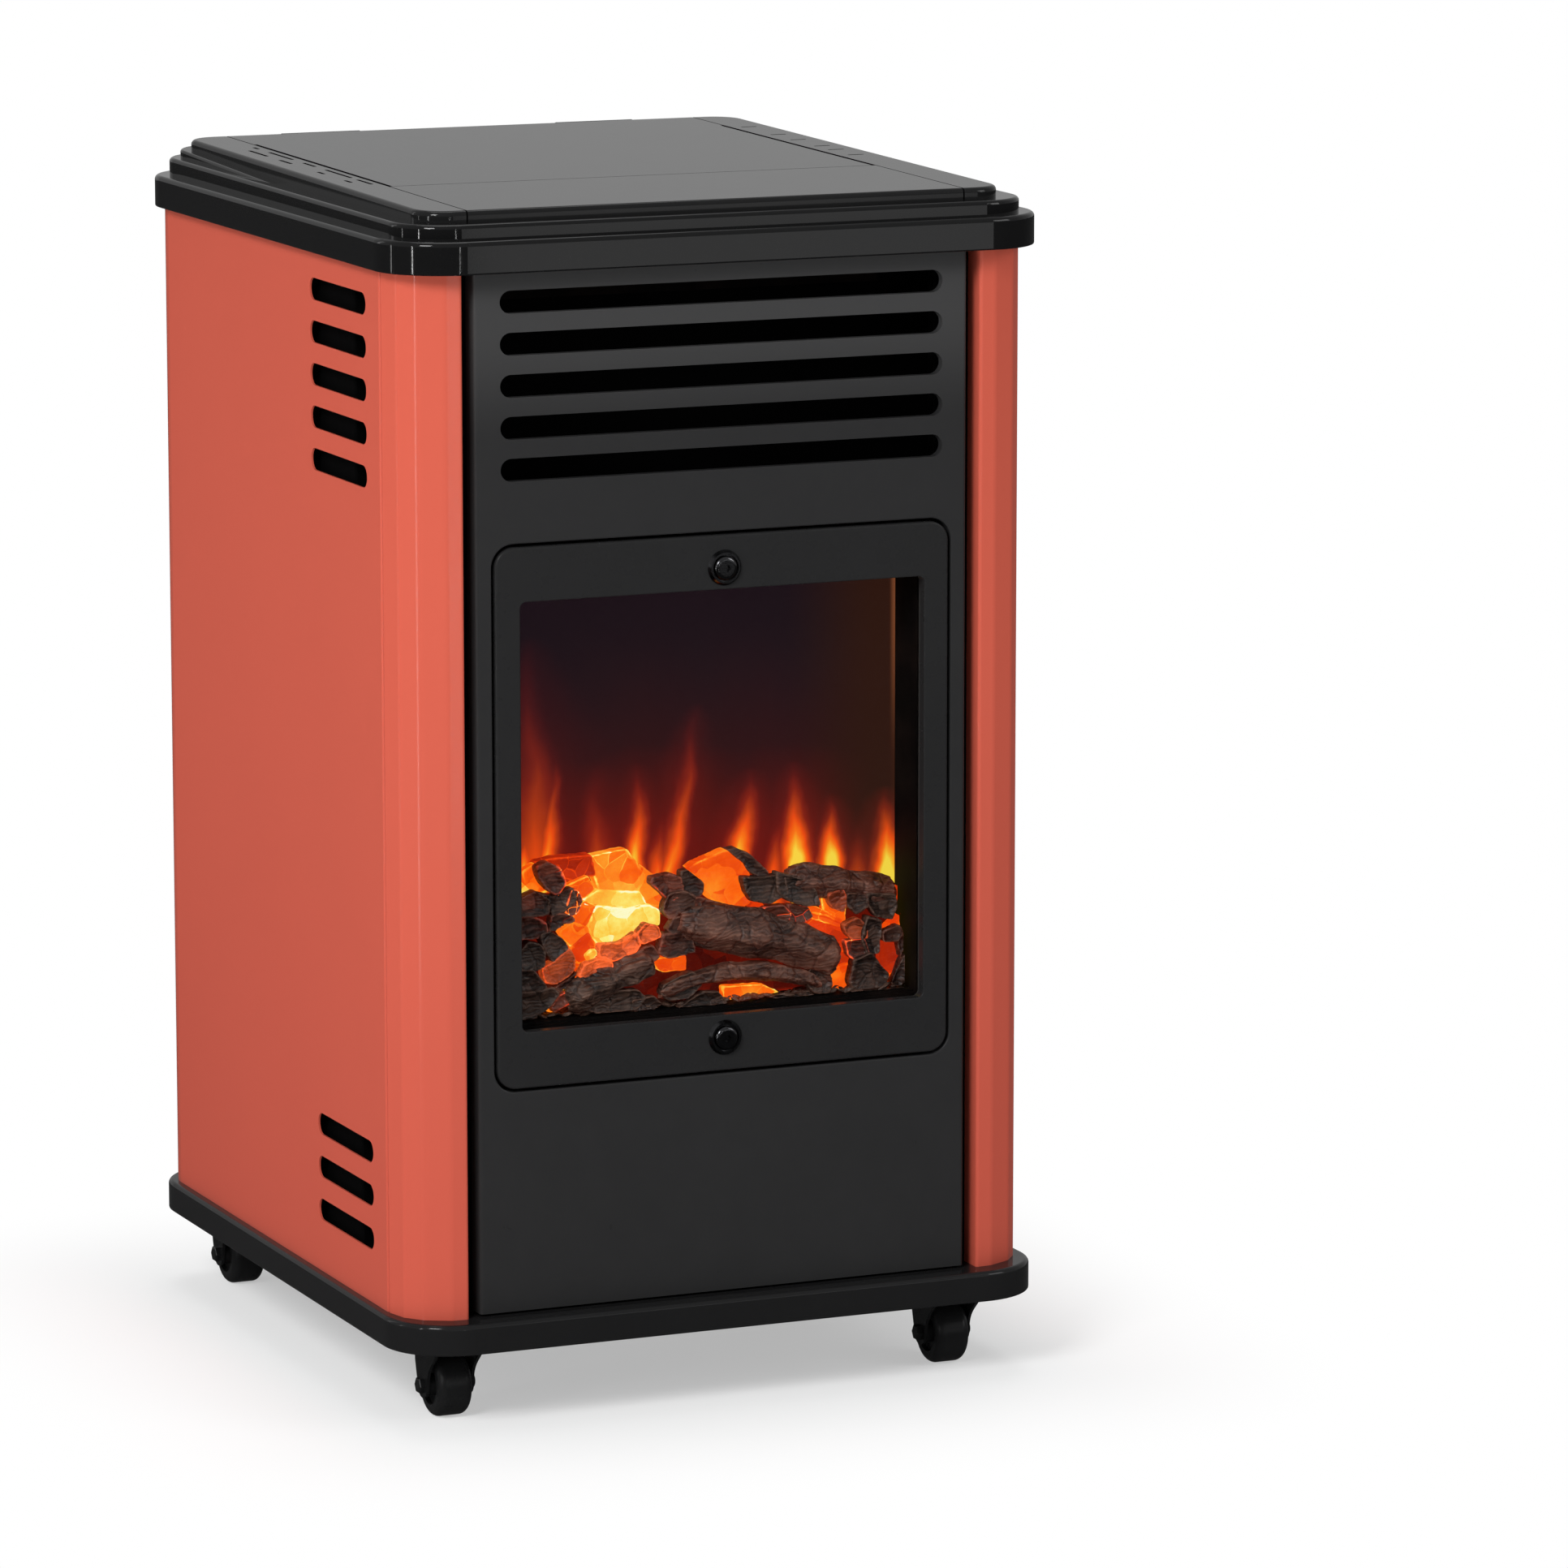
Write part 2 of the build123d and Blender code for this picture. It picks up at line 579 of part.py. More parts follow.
def make_rear_cover():
    """Pressed cover over the bottle bay, which pulls off its catches."""
    half, low, high = REAR_OPENING + 14, BASE_TOP + 1.5, RIM_LOW - 1.5
    cover_y = BODY_REAR + 1.0
    middle, corner_r = (low + high) / 2, 8.0
    vent_inset, slot_lift = 70.0, 140.0
    with BuildPart() as rear_cover:
        with BuildSketch(front_plane(cover_y)):
            with Locations((0, middle)):
                RectangleRounded(2 * half, high - low, corner_r)
        extrude(amount=-COVER_DEPTH)
        with BuildSketch(front_plane(cover_y)):
            with Locations((0, middle)):
                RectangleRounded(2 * half - 2 * SHEET, high - low - 2 * SHEET, corner_r - SHEET)
        extrude(amount=-(COVER_DEPTH - SHEET), mode=Mode.SUBTRACT)
        # Vents at the bottom and the top of the bay
        with BuildSketch(front_plane(cover_y)):
            for z in (low + vent_inset, high - vent_inset):
                with Locations((0, z)):
                    with GridLocations(60, 20, 4, 4):
                        SlotOverall(44, 8)
        extrude(amount=-COVER_DEPTH, mode=Mode.SUBTRACT)
        # Finger slot
        with BuildSketch(front_plane(cover_y)):
            with Locations((0, middle + slot_lift)):
                SlotOverall(96, 26)
        extrude(amount=-COVER_DEPTH, mode=Mode.SUBTRACT)
        # Studs that press into the catches
        for x, z in CATCHES:
            with BuildSketch(front_plane(cover_y + COVER_DEPTH - SHEET)):
                with Locations((x, z)):
                    Circle(STUD_R)
            extrude(amount=STUD_LENGTH)
    keep(rear_cover, "rear_cover")

    with BuildPart() as cover_catches:
        for x, z in CATCHES:
            with BuildSketch(front_plane(BODY_REAR - SHEET)):
                with Locations((x, z)):
                    Circle(STUD_R + 2.0)
                    Circle(STUD_R + 0.4, mode=Mode.SUBTRACT)
            extrude(amount=STUD_LENGTH - 3)
    keep(cover_catches, "cover_catches")


# ---------------------------------------------------------------- window

def make_window():
    frame_front, frame_depth = PANEL_Y - 0.8, 9.0
    plate, skirt, lip_wall = 2.4, 2.0, 2.0
    boss_r, hole_r, glass_r = 5.5, 3.0, 4.0
    washer_r, washer_high, seat_r, seat_depth = 11.0, 2.2, 8.3, 1.4
    head_r, head_high, shank_r, socket_r = 7.6, 3.2, 2.5, 2.3
    sight_high = SIGHT_HIGH - SIGHT_LOW
    glass_half, glass_high = SIGHT_HALF + 8, sight_high + 15
    glass_y = PANEL_Y + LIP_DEPTH + GASKET_THICK
    with BuildPart() as window_frame:
        with BuildSketch(front_plane(frame_front)):
            with Locations((0, FRAME_Z)):
                RectangleRounded(2 * FRAME_HALF, FRAME_HIGH - FRAME_LOW, FRAME_R)
        extrude(amount=-frame_depth)
        with BuildSketch(front_plane(frame_front + plate)):
            with Locations((0, FRAME_Z)):
                RectangleRounded(2 * FRAME_HALF - 2 * skirt, FRAME_HIGH - FRAME_LOW - 2 * skirt, FRAME_R - skirt)
            with Locations((0, SIGHT_Z)):
                RectangleRounded(
                    2 * SIGHT_HALF + 2 * lip_wall, sight_high + 2 * lip_wall, SIGHT_R + lip_wall, mode=Mode.SUBTRACT
                )
        extrude(amount=-frame_depth, mode=Mode.SUBTRACT)
        # Step that leaves room for the gasket and the glass
        with BuildSketch(front_plane(PANEL_Y + LIP_DEPTH)):
            with Locations((0, SIGHT_Z)):
                RectangleRounded(2 * SIGHT_HALF + 9, sight_high + 9, SIGHT_R + 4)
        extrude(amount=-frame_depth, mode=Mode.SUBTRACT)
        with BuildSketch(front_plane(frame_front)):
            with Locations((0, SIGHT_Z)):
                RectangleRounded(2 * SIGHT_HALF, sight_high, SIGHT_R)
        extrude(amount=-frame_depth, mode=Mode.SUBTRACT)
        # Bosses that the two screws pull down on
        for z in FRAME_SCREWS:
            with BuildSketch(front_plane(frame_front + plate - 0.4)):
                with Locations((0, z)):
                    Circle(boss_r)
            extrude(amount=-(LINER_Y - frame_front - plate + 0.4))
            with BuildSketch(front_plane(frame_front)):
                with Locations((0, z)):
                    Circle(hole_r)
            extrude(amount=-(LINER_Y - frame_front), mode=Mode.SUBTRACT)
        face = window_frame.faces().filter_by(Axis.Y).sort_by(Axis.Y)[0]
        fillet(face.outer_wire().edges(), radius=1.5)
        face = window_frame.faces().filter_by(Axis.Y).sort_by(Axis.Y)[0]
        sight_wire = max(face.inner_wires(), key=lambda wire: wire.length)
        fillet(sight_wire.edges(), radius=0.8)
    keep(window_frame, "window_frame")

    with BuildPart() as glass_gasket:
        with BuildSketch(front_plane(PANEL_Y + LIP_DEPTH)):
            with Locations((0, SIGHT_Z)):
                RectangleRounded(2 * glass_half - 1, glass_high - 1, glass_r)
                RectangleRounded(2 * SIGHT_HALF + 1, sight_high + 1, SIGHT_R, mode=Mode.SUBTRACT)
        extrude(amount=-GASKET_THICK)
    keep(glass_gasket, "glass_gasket")

    with BuildPart() as window_glass:
        with BuildSketch(front_plane(glass_y)):
            with Locations((0, SIGHT_Z)):
                RectangleRounded(2 * glass_half, glass_high, glass_r)
        extrude(amount=-GLASS_THICK)
        chamfer(window_glass.edges().filter_by(Axis.Y, reverse=True), length=0.4)
    keep(window_glass, "window_glass")

    with BuildPart() as frame_cup_washers:
        for z in FRAME_SCREWS:
            with BuildSketch(front_plane(frame_front)):
                with Locations((0, z)):
                    Circle(washer_r)
            extrude(amount=washer_high, taper=35)
        with BuildSketch(front_plane(frame_front)):
            with Locations(*[(0, z) for z in FRAME_SCREWS]):
                Circle(hole_r)
        extrude(amount=washer_high, mode=Mode.SUBTRACT)
        # Dished seat for the domed head
        for z in FRAME_SCREWS:
            with BuildSketch(front_plane(frame_front - washer_high)):
                with Locations((0, z)):
                    Circle(seat_r)
            extrude(amount=-seat_depth, mode=Mode.SUBTRACT)
    keep(frame_cup_washers, "frame_cup_washers")

    with BuildPart() as frame_screws:
        head_y = frame_front - (washer_high - seat_depth)
        for z in FRAME_SCREWS:
            with BuildSketch(front_plane(head_y)):
                with Locations((0, z)):
                    Circle(head_r)
            extrude(amount=head_high)
            with BuildSketch(front_plane(head_y)):
                with Locations((0, z)):
                    Circle(shank_r)
            extrude(amount=-(LINER_Y + 8 - head_y))
        tops = frame_screws.faces().filter_by(Axis.Y).sort_by(Axis.Y)[:2]
        fillet([edge for top in tops for edge in top.edges()], radius=2.6)
        with BuildSketch(front_plane(head_y - head_high)):
            with Locations(*[(0, z) for z in FRAME_SCREWS]):
                RegularPolygon(socket_r, 6)
        extrude(amount=-1.8, mode=Mode.SUBTRACT)
    keep(frame_screws, "frame_screws")


# ---------------------------------------------------------------- firebox

def make_firebox():
    liner_rear, screen_top, wing = LINER_Y + LINER_DEPTH, 548.0, 10.0
    flange_half, flange_low, flange_high = 158.0, 204.0, 552.0
    throat_low, throat_high = SIGHT_LOW, SIGHT_HIGH + 4
    flame_slots = GridLocations(24, 1, 10, 1)
    with BuildPart() as firebox_liner:
        with BuildSketch(front_plane(LINER_Y)):
            with Locations((0, (flange_low + flange_high) / 2)):
                RectangleRounded(2 * flange_half, flange_high - flange_low, 10)
            with Locations((0, (throat_low + throat_high) / 2)):
                Rectangle(2 * LINER_HALF, throat_high - throat_low, mode=Mode.SUBTRACT)
            with Locations(*[(0, z) for z in FRAME_SCREWS], *CHASSIS_SCREWS):
                Circle(2.5, mode=Mode.SUBTRACT)
        extrude(amount=-SHEET)
        for side in (-1, 1):
            walls = sorted((side * LINER_HALF, side * (LINER_HALF + SHEET)))
            block(walls, (LINER_Y, liner_rear), (SIGHT_LOW - SHEET, LINER_TOP))
        block((-LINER_HALF, LINER_HALF), (LINER_Y, liner_rear), (SIGHT_LOW - SHEET, SIGHT_LOW))
        with BuildSketch(Plane.XY.offset(SIGHT_LOW - SHEET)):
            with Locations((0, BURNER_Y)):
                with Locations(*flame_slots.locations):
                    SlotOverall(18, 6)
        extrude(amount=SHEET, mode=Mode.SUBTRACT)
    keep(firebox_liner, "firebox_liner")

    with BuildPart() as flame_screen:
        folded_sheet(
            [
                (-LINER_HALF + 0.2, SCREEN_Y + wing),
                (-LINER_HALF + 0.2, SCREEN_Y),
                (LINER_HALF - 0.2, SCREEN_Y),
                (LINER_HALF - 0.2, SCREEN_Y + wing),
            ],
            [1.6, 1.6],
            SHEET,
            SIGHT_LOW,
            screen_top,
            Side.LEFT,
        )
    keep(flame_screen, "flame_screen")

    with BuildPart() as log_tray:
        tray_y = (LINER_Y + 4, SCREEN_Y - 0.5)
        tray_half = LINER_HALF - 0.5
        block((-tray_half, tray_half), tray_y, (SIGHT_LOW, SIGHT_LOW + TRAY_THICK))
        with BuildSketch(Plane.XY.offset(SIGHT_LOW)):
            with Locations((0, BURNER_Y)):
                with Locations(*flame_slots.locations):
                    SlotOverall(16, 4)
        extrude(amount=TRAY_THICK, mode=Mode.SUBTRACT)
    keep(log_tray, "log_tray")

    with BuildPart() as ember_bed:
        with BuildSketch(Plane.XY.offset(SIGHT_LOW + TRAY_THICK)):
            with Locations((0, (FRONT_ROW + BACK_ROW) / 2)):
                RectangleRounded(2 * LINER_HALF - 8, BACK_ROW - FRONT_ROW + 8, 6)
        extrude(amount=BED_THICK, taper=12)
    keep(ember_bed, "ember_bed")

    for name, pieces in LOGS.items():
        with BuildPart() as logs:
            for row, line, thickness, ends in pieces:
                add(ceramic_piece(row, line, thickness, ends))
        keep(logs, name)


def ceramic_piece(row, line, thickness, ends):
    """Log or coal: an oval section lofted along its middle line, narrower at both ends."""
    with BuildLine(mode=Mode.PRIVATE) as route:
        Spline(*[(x, row, z) for x, z in line])
    path = route.wires()[0]
    with BuildPart(mode=Mode.PRIVATE) as piece:
        for place, swell in ((0, ends), (0.3, 0.96), (0.7, 1.0), (1, ends)):
            with BuildSketch(Plane(origin=path @ place, x_dir=(0, 1, 0), z_dir=path % place)):
                Ellipse(min(thickness, LOG_DEPTH) / 2 * swell, thickness / 2 * swell)
        loft()
    return piece.part


# ---------------------------------------------------------------- burner

def make_burner():
    wall, port_r, foot_inset = 1.0, 0.9, 34.0
    nut_r, nut_thick, nozzle_r, jet_r = 7.5, 9.0, 5.4, 0.6
    with BuildPart() as burner_tube:
        with BuildSketch(side_plane(-BURNER_HALF)):
            with Locations((BURNER_Y, BURNER_Z)):
                Circle(BURNER_R)
                Circle(BURNER_R - wall, mode=Mode.SUBTRACT)
        extrude(amount=2 * BURNER_HALF)
        with BuildSketch(side_plane(BURNER_HALF)):
            with Locations((BURNER_Y, BURNER_Z)):
                Circle(BURNER_R)
        extrude(amount=-1.5)
        with BuildSketch(Plane.XY.offset(BURNER_Z)):
            with Locations((0, BURNER_Y)):
                with GridLocations(9, 5, 22, 2):
                    Circle(port_r)
        extrude(amount=BURNER_R + 2, mode=Mode.SUBTRACT)
        # Air inlets at the injector's end
        with BuildSketch(front_plane(BURNER_Y - BURNER_R - 2)):
            with Locations((-BURNER_HALF + 12, BURNER_Z)):
                SlotOverall(12, 6)
        extrude(amount=-2 * BURNER_R - 4, mode=Mode.SUBTRACT)
        # Feet that stand the tube on its shelf
        for x in (-BURNER_HALF + foot_inset, BURNER_HALF - foot_inset):
            feet_y = (BURNER_Y - 5, BURNER_Y + 5)
            block((x - 1, x + 1), feet_y, (SHELF_TOP, BURNER_Z - BURNER_R + 0.6))
            block((x - 1, x + 13), feet_y, (SHELF_TOP, SHELF_TOP + 1.5))
    keep(burner_tube, "burner_tube")

    with BuildPart() as burner_shelf:
        shelf_half, lip = CHANNEL_IN - 0.2, 14.0
        block((-shelf_half, shelf_half), (CHANNEL_Y + 3, BULKHEAD_Y), (SHELF_TOP - SHEET, SHELF_TOP))
        block((-shelf_half, shelf_half), (BULKHEAD_Y - SHEET, BULKHEAD_Y), (SHELF_TOP - lip, SHELF_TOP))
        with BuildSketch(Plane.XY.offset(SHELF_TOP - SHEET)):
            with Locations((0, BULKHEAD_Y - 14)):
                with GridLocations(46, 1, 6, 1):
                    SlotOverall(34, 9)
        extrude(amount=SHEET, mode=Mode.SUBTRACT)
    keep(burner_shelf, "burner_shelf")

    with BuildPart() as burner_injector:
        with BuildSketch(side_plane(INJECTOR_X - 14)):
            with Locations((BURNER_Y, BURNER_Z)):
                RegularPolygon(nut_r, 6)
        extrude(amount=nut_thick)
        with BuildSketch(side_plane(INJECTOR_X - 5)):
            with Locations((BURNER_Y, BURNER_Z)):
                Circle(nozzle_r)
        extrude(amount=8)
        with BuildSketch(side_plane(INJECTOR_X + 3)):
            with Locations((BURNER_Y, BURNER_Z)):
                Circle(nozzle_r)
        extrude(amount=6, taper=30)
        with BuildSketch(side_plane(INJECTOR_X - 20)):
            with Locations((BURNER_Y, BURNER_Z)):
                Circle(jet_r)
        extrude(amount=40, mode=Mode.SUBTRACT)
    keep(burner_injector, "burner_injector")


def make_pilot():
    """Pilot burner, with the thermocouple and the spark electrode beside it on one bracket."""
    bracket_x, bracket_y, bracket_thick = (97, 135), (PILOT_Y - 5, PILOT_Y + 6), 1.6
    bracket_top = SHELF_TOP + 22.3
    pilot_x, probe_x, spark_x = 104.0, 116.0, 128.0
    pilot_r, probe_r, jet_r, rod_r = 4.0, 2.5, 1.2, 0.8
    pilot_low, probe_low, hood_high = 216.0, 212.0, 232.0
    valve_y = KNOB_Y - VALVE_HALF
    with BuildPart() as pilot_burner:
        block(bracket_x, bracket_y, (bracket_top - bracket_thick, bracket_top))
        block(bracket_x, (bracket_y[0], bracket_y[0] + bracket_thick), (SHELF_TOP, bracket_top))
        upright(pilot_x, PILOT_Y, pilot_r, pilot_low, hood_high)
        hood_x = (pilot_x - pilot_r, pilot_x + pilot_r)
        block(hood_x, (PILOT_Y - 7, PILOT_Y), (hood_high - 1.2, hood_high))
        upright(pilot_x, PILOT_Y, jet_r, pilot_low, hood_high, Mode.SUBTRACT)
        for x in (probe_x, spark_x):
            upright(x, PILOT_Y, probe_r, bracket_top - 5, bracket_top + 5, Mode.SUBTRACT)
    keep(pilot_burner, "pilot_burner")

    with BuildPart() as thermocouple:
        upright(probe_x, PILOT_Y, probe_r, probe_low, hood_high + 4)
        fillet(thermocouple.faces().sort_by(Axis.Z)[-1].edges(), radius=1.5)
        across_y = BULKHEAD_Y - 6
        pipe(
            [
                (KNOB_X + 24, valve_y, PIPE_Z),
                (KNOB_X + 24, PIPE_Y, PIPE_Z),
                (KNOB_X + 24, PIPE_Y, PROBE_PIPE_Z),
                (KNOB_X + 24, across_y, PROBE_PIPE_Z),
                (probe_x, across_y, PROBE_PIPE_Z),
                (probe_x, PILOT_Y, PROBE_PIPE_Z),
                (probe_x, PILOT_Y, probe_low + 2),
            ],
            [6, 6, 6, 6, 5],
            PROBE_PIPE_R,
        )
    keep(thermocouple, "thermocouple")

    # The electrode's lead is fixed to it and runs up to the igniter
    with BuildPart() as spark_electrode:
        upright(spark_x, PILOT_Y, probe_r, probe_low, hood_high)
        upright(spark_x, PILOT_Y, rod_r, hood_high, hood_high + 6)
        across_y = BULKHEAD_Y - 14
        pipe(
            [
                (IGNITER_X, KNOB_Y, IGNITER_LOW),
                (IGNITER_X, KNOB_Y, LEAD_Z),
                (IGNITER_X, PIPE_Y, LEAD_Z),
                (IGNITER_X, PIPE_Y, LEAD_LOW),
                (IGNITER_X, across_y, LEAD_LOW),
                (spark_x, across_y, LEAD_LOW),
                (spark_x, PILOT_Y, LEAD_LOW),
                (spark_x, PILOT_Y, probe_low),
            ],
            [8, 10, 8, 8, 8, 7],
            LEAD_R,
        )
    keep(spark_electrode, "spark_electrode")

    with BuildPart() as pilot_pipe:
        across_y = BULKHEAD_Y - 10
        pipe(
            [
                (KNOB_X + 12, valve_y, PIPE_Z),
                (KNOB_X + 12, PIPE_Y, PIPE_Z),
                (KNOB_X + 12, PIPE_Y, PILOT_PIPE_Z),
                (KNOB_X + 12, across_y, PILOT_PIPE_Z),
                (pilot_x, across_y, PILOT_PIPE_Z),
                (pilot_x, PILOT_Y, PILOT_PIPE_Z),
                (pilot_x, PILOT_Y, pilot_low),
            ],
            [7, 8, 8, 8, 5],
            PILOT_PIPE_R,
            PILOT_PIPE_R - 0.8,
        )
    keep(pilot_pipe, "pilot_pipe")


def make_gas_feed_pipe():
    turn_x, across_y = INJECTOR_X - 35, BULKHEAD_Y - 18
    with BuildPart() as gas_feed_pipe:
        pipe(
            [
                (KNOB_X, KNOB_Y - VALVE_HALF, PIPE_Z),
                (KNOB_X, PIPE_Y, PIPE_Z),
                (KNOB_X, PIPE_Y, BURNER_Z),
                (KNOB_X, across_y, BURNER_Z),
                (turn_x, across_y, BURNER_Z),
                (turn_x, BURNER_Y, BURNER_Z),
                (INJECTOR_X - 14, BURNER_Y, BURNER_Z),
            ],
            [12, 12, 12, 12, 12],
            FEED_R,
            FEED_R - 1,
        )
    keep(gas_feed_pipe, "gas_feed_pipe")


def make_heat_deflector():
    """Baffle that turns the rising air forward, out of the louvre."""
    half, low, high = CHANNEL_IN - 0.5, 678.0, 705.0
    with BuildPart() as heat_deflector:
        with BuildSketch(side_plane(-half)):
            with BuildLine():
                FilletPolyline(
                    (BULKHEAD_Y - 0.1, low),
                    (BULKHEAD_Y - 0.1, low + 8),
                    (BULKHEAD_Y - 36, high),
                    (CHANNEL_Y + 4, high),
                    radius=[3, 8],
                )
                offset(amount=SHEET, side=Side.LEFT)
            make_face()
        extrude(amount=2 * half)
    keep(heat_deflector, "heat_deflector")


# ---------------------------------------------------------------- top

def tier(mode=Mode.ADD):
    sloped_slab(TIER_INSET, RIM_TOP - 3, TIER_FRONT, TIER_REAR, 2.5, mode)


def wedge(mode=Mode.ADD):
    """Extra step that climbs out of the tier along the rear half and the back."""
    reach = DEPTH / 2 - WEDGE_INSET
    foot = rise(WEDGE_START, TIER_FRONT, TIER_REAR) - 0.6
    with BuildPart(mode=Mode.PRIVATE) as step:
        slab(WIDTH - 2 * WEDGE_INSET, 2 * reach, CORNER_R - WEDGE_INSET, RIM_TOP, HEIGHT)
        with BuildSketch(side_plane(-WIDTH / 2)):
            with BuildLine():
                Polyline(
                    (WEDGE_START, RIM_TOP), (reach, RIM_TOP), (reach, WEDGE_REAR), (WEDGE_START, foot), close=True
                )
            make_face()
        extrude(amount=WIDTH, mode=Mode.INTERSECT)
        top_face = step.faces().sort_by(Axis.Z)[-1]
        fillet(top_face.edges().filter_by(lambda e: e.center().Y > WEDGE_START + 1), radius=1.6)
        inside_y = (WEDGE_START - 1, DEPTH / 2 - UPPER_INSET - 2)
        block((-SEAM_X - 2, SEAM_X + 2), inside_y, (RIM_TOP, HEIGHT), Mode.SUBTRACT)
    add(step.part, mode=mode)


def make_top_housing():
    hollow, wall = HOUSING_WALL, 2.5
    lug_width, lug_offset, pocket_half = 10.0, 21.5, 16.5
    lug_x = [side * HINGE_X + end * lug_offset for side in (-1, 1) for end in (-1, 1)]
    with BuildPart() as top_housing:
        slab(WIDTH, DEPTH, CORNER_R, RIM_LOW, RIM_TOP)
        fillet(top_housing.faces().sort_by(Axis.Z)[-1].edges(), radius=3.0)
        fillet(top_housing.faces().sort_by(Axis.Z)[0].edges(), radius=1.0)
        tier()
        wedge()
        # Hollow moulding with a flange under it that the casing butts against
        slab(WIDTH - 2 * hollow, DEPTH - 2 * hollow, CORNER_R - hollow, RIM_LOW + 3, RIM_TOP - 3, Mode.SUBTRACT)
        slab(WIDTH - 54, DEPTH - 60, CORNER_R - 27, RIM_LOW, RIM_LOW + 3, Mode.SUBTRACT)
        inset = TIER_INSET + hollow
        slab(WIDTH - 2 * inset, DEPTH - 2 * inset, CORNER_R - inset, RIM_TOP - 3, TIER_FRONT - 3, Mode.SUBTRACT)
        # Well that holds the controls, under the lid
        block(
            (-WELL_HALF - wall, WELL_HALF + wall),
            (WELL_FRONT - wall, WELL_REAR + wall),
            (WELL_FLOOR - HOUSING_WALL, TIER_FRONT - 2),
        )
        block((-WELL_HALF, WELL_HALF), (WELL_FRONT, WELL_REAR), (WELL_FLOOR, HEIGHT), Mode.SUBTRACT)
        upright(KNOB_X, KNOB_Y, NECK_R, WELL_FLOOR - 5, WELL_FLOOR, Mode.SUBTRACT)
        upright(IGNITER_X, KNOB_Y, IGNITER_R, WELL_FLOOR - 5, WELL_FLOOR, Mode.SUBTRACT)
        # Lugs of the lid's hinges
        for x in lug_x:
            with BuildSketch(side_plane(x - lug_width / 2)):
                with Locations((HINGE_Y, HINGE_Z)):
                    Circle(KNUCKLE_R)
                with Locations((HINGE_Y, (HINGE_Z + TIER_REAR - 2) / 2)):
                    Rectangle(2 * KNUCKLE_R, HINGE_Z - TIER_REAR + 2)
            extrude(amount=lug_width)
        for side in (-1, 1):
            x = (side * HINGE_X - pocket_half, side * HINGE_X + pocket_half)
            pocket_y = (HINGE_Y - KNUCKLE_R - 2, HINGE_Y + KNUCKLE_R + 0.6)
            block(x, pocket_y, (HINGE_Z - KNUCKLE_R - 0.6, HEIGHT), Mode.SUBTRACT)
        with BuildSketch(side_plane(-HINGE_X - 30)):
            with Locations((HINGE_Y, HINGE_Z)):
                Circle(HINGE_PIN_R)
        extrude(amount=2 * HINGE_X + 60, mode=Mode.SUBTRACT)
    keep(top_housing, "top_housing")

    with BuildPart() as lid_hinge_pins:
        for side in (-1, 1):
            with BuildSketch(side_plane(side * HINGE_X - HINGE_PIN_HALF)):
                with Locations((HINGE_Y, HINGE_Z)):
                    Circle(HINGE_PIN_R)
            extrude(amount=2 * HINGE_PIN_HALF)
    keep(lid_hinge_pins, "lid_hinge_pins")


def make_top_caps():
    """Side caps and front strip round the lid, cut from one sloping slab."""
    half = DEPTH / 2
    for name, side in SIDES:
        edge = SEAM_X + SEAM_GAP / 2
        with BuildPart() as cap:
            sloped_slab(UPPER_INSET, TIER_FRONT - 4, UPPER_FRONT, UPPER_REAR, 3.0)
            block(sorted((side * edge, side * WIDTH)), (-half, half), (RIM_LOW, HEIGHT + 20), Mode.INTERSECT)
            tier(Mode.SUBTRACT)
            wedge(Mode.SUBTRACT)
            pocket_x = sorted((side * (edge + 2.5), side * (WIDTH / 2 - UPPER_INSET - 6)))
            pocket_y = half - UPPER_INSET - 14
            sloped_box(pocket_x, (-pocket_y, pocket_y), RIM_TOP, UPPER_FRONT - 3, UPPER_REAR - 3, Mode.SUBTRACT)
            # Short vent slots, cut into the sloping face
            dashes = LEFT_DASHES if side < 0 else RIGHT_DASHES
            for x, y, length, turn in dashes:
                face_z = rise(y, UPPER_FRONT, UPPER_REAR)
                with BuildSketch(Plane.XY.offset(face_z - DASH_DEPTH)):
                    with Locations((x, y)):
                        SlotOverall(length, DASH_WIDTH, rotation=turn)
                extrude(amount=6, mode=Mode.SUBTRACT)
        keep(cap, f"{name}_top_cap")

    with BuildPart() as front_top_strip:
        sloped_slab(UPPER_INSET, TIER_FRONT - 4, UPPER_FRONT, UPPER_REAR, 3.0)
        inner = SEAM_X - SEAM_GAP / 2
        block((-inner, inner), (-half, LID_FRONT - SEAM_GAP / 2), (RIM_LOW, HEIGHT + 20), Mode.INTERSECT)
        tier(Mode.SUBTRACT)
        y = (-half + UPPER_INSET + 4, LID_FRONT - 4)
        sloped_box((-inner + 3, inner - 3), y, RIM_TOP, UPPER_FRONT - 3, UPPER_REAR - 3, Mode.SUBTRACT)
    keep(front_top_strip, "front_top_strip")


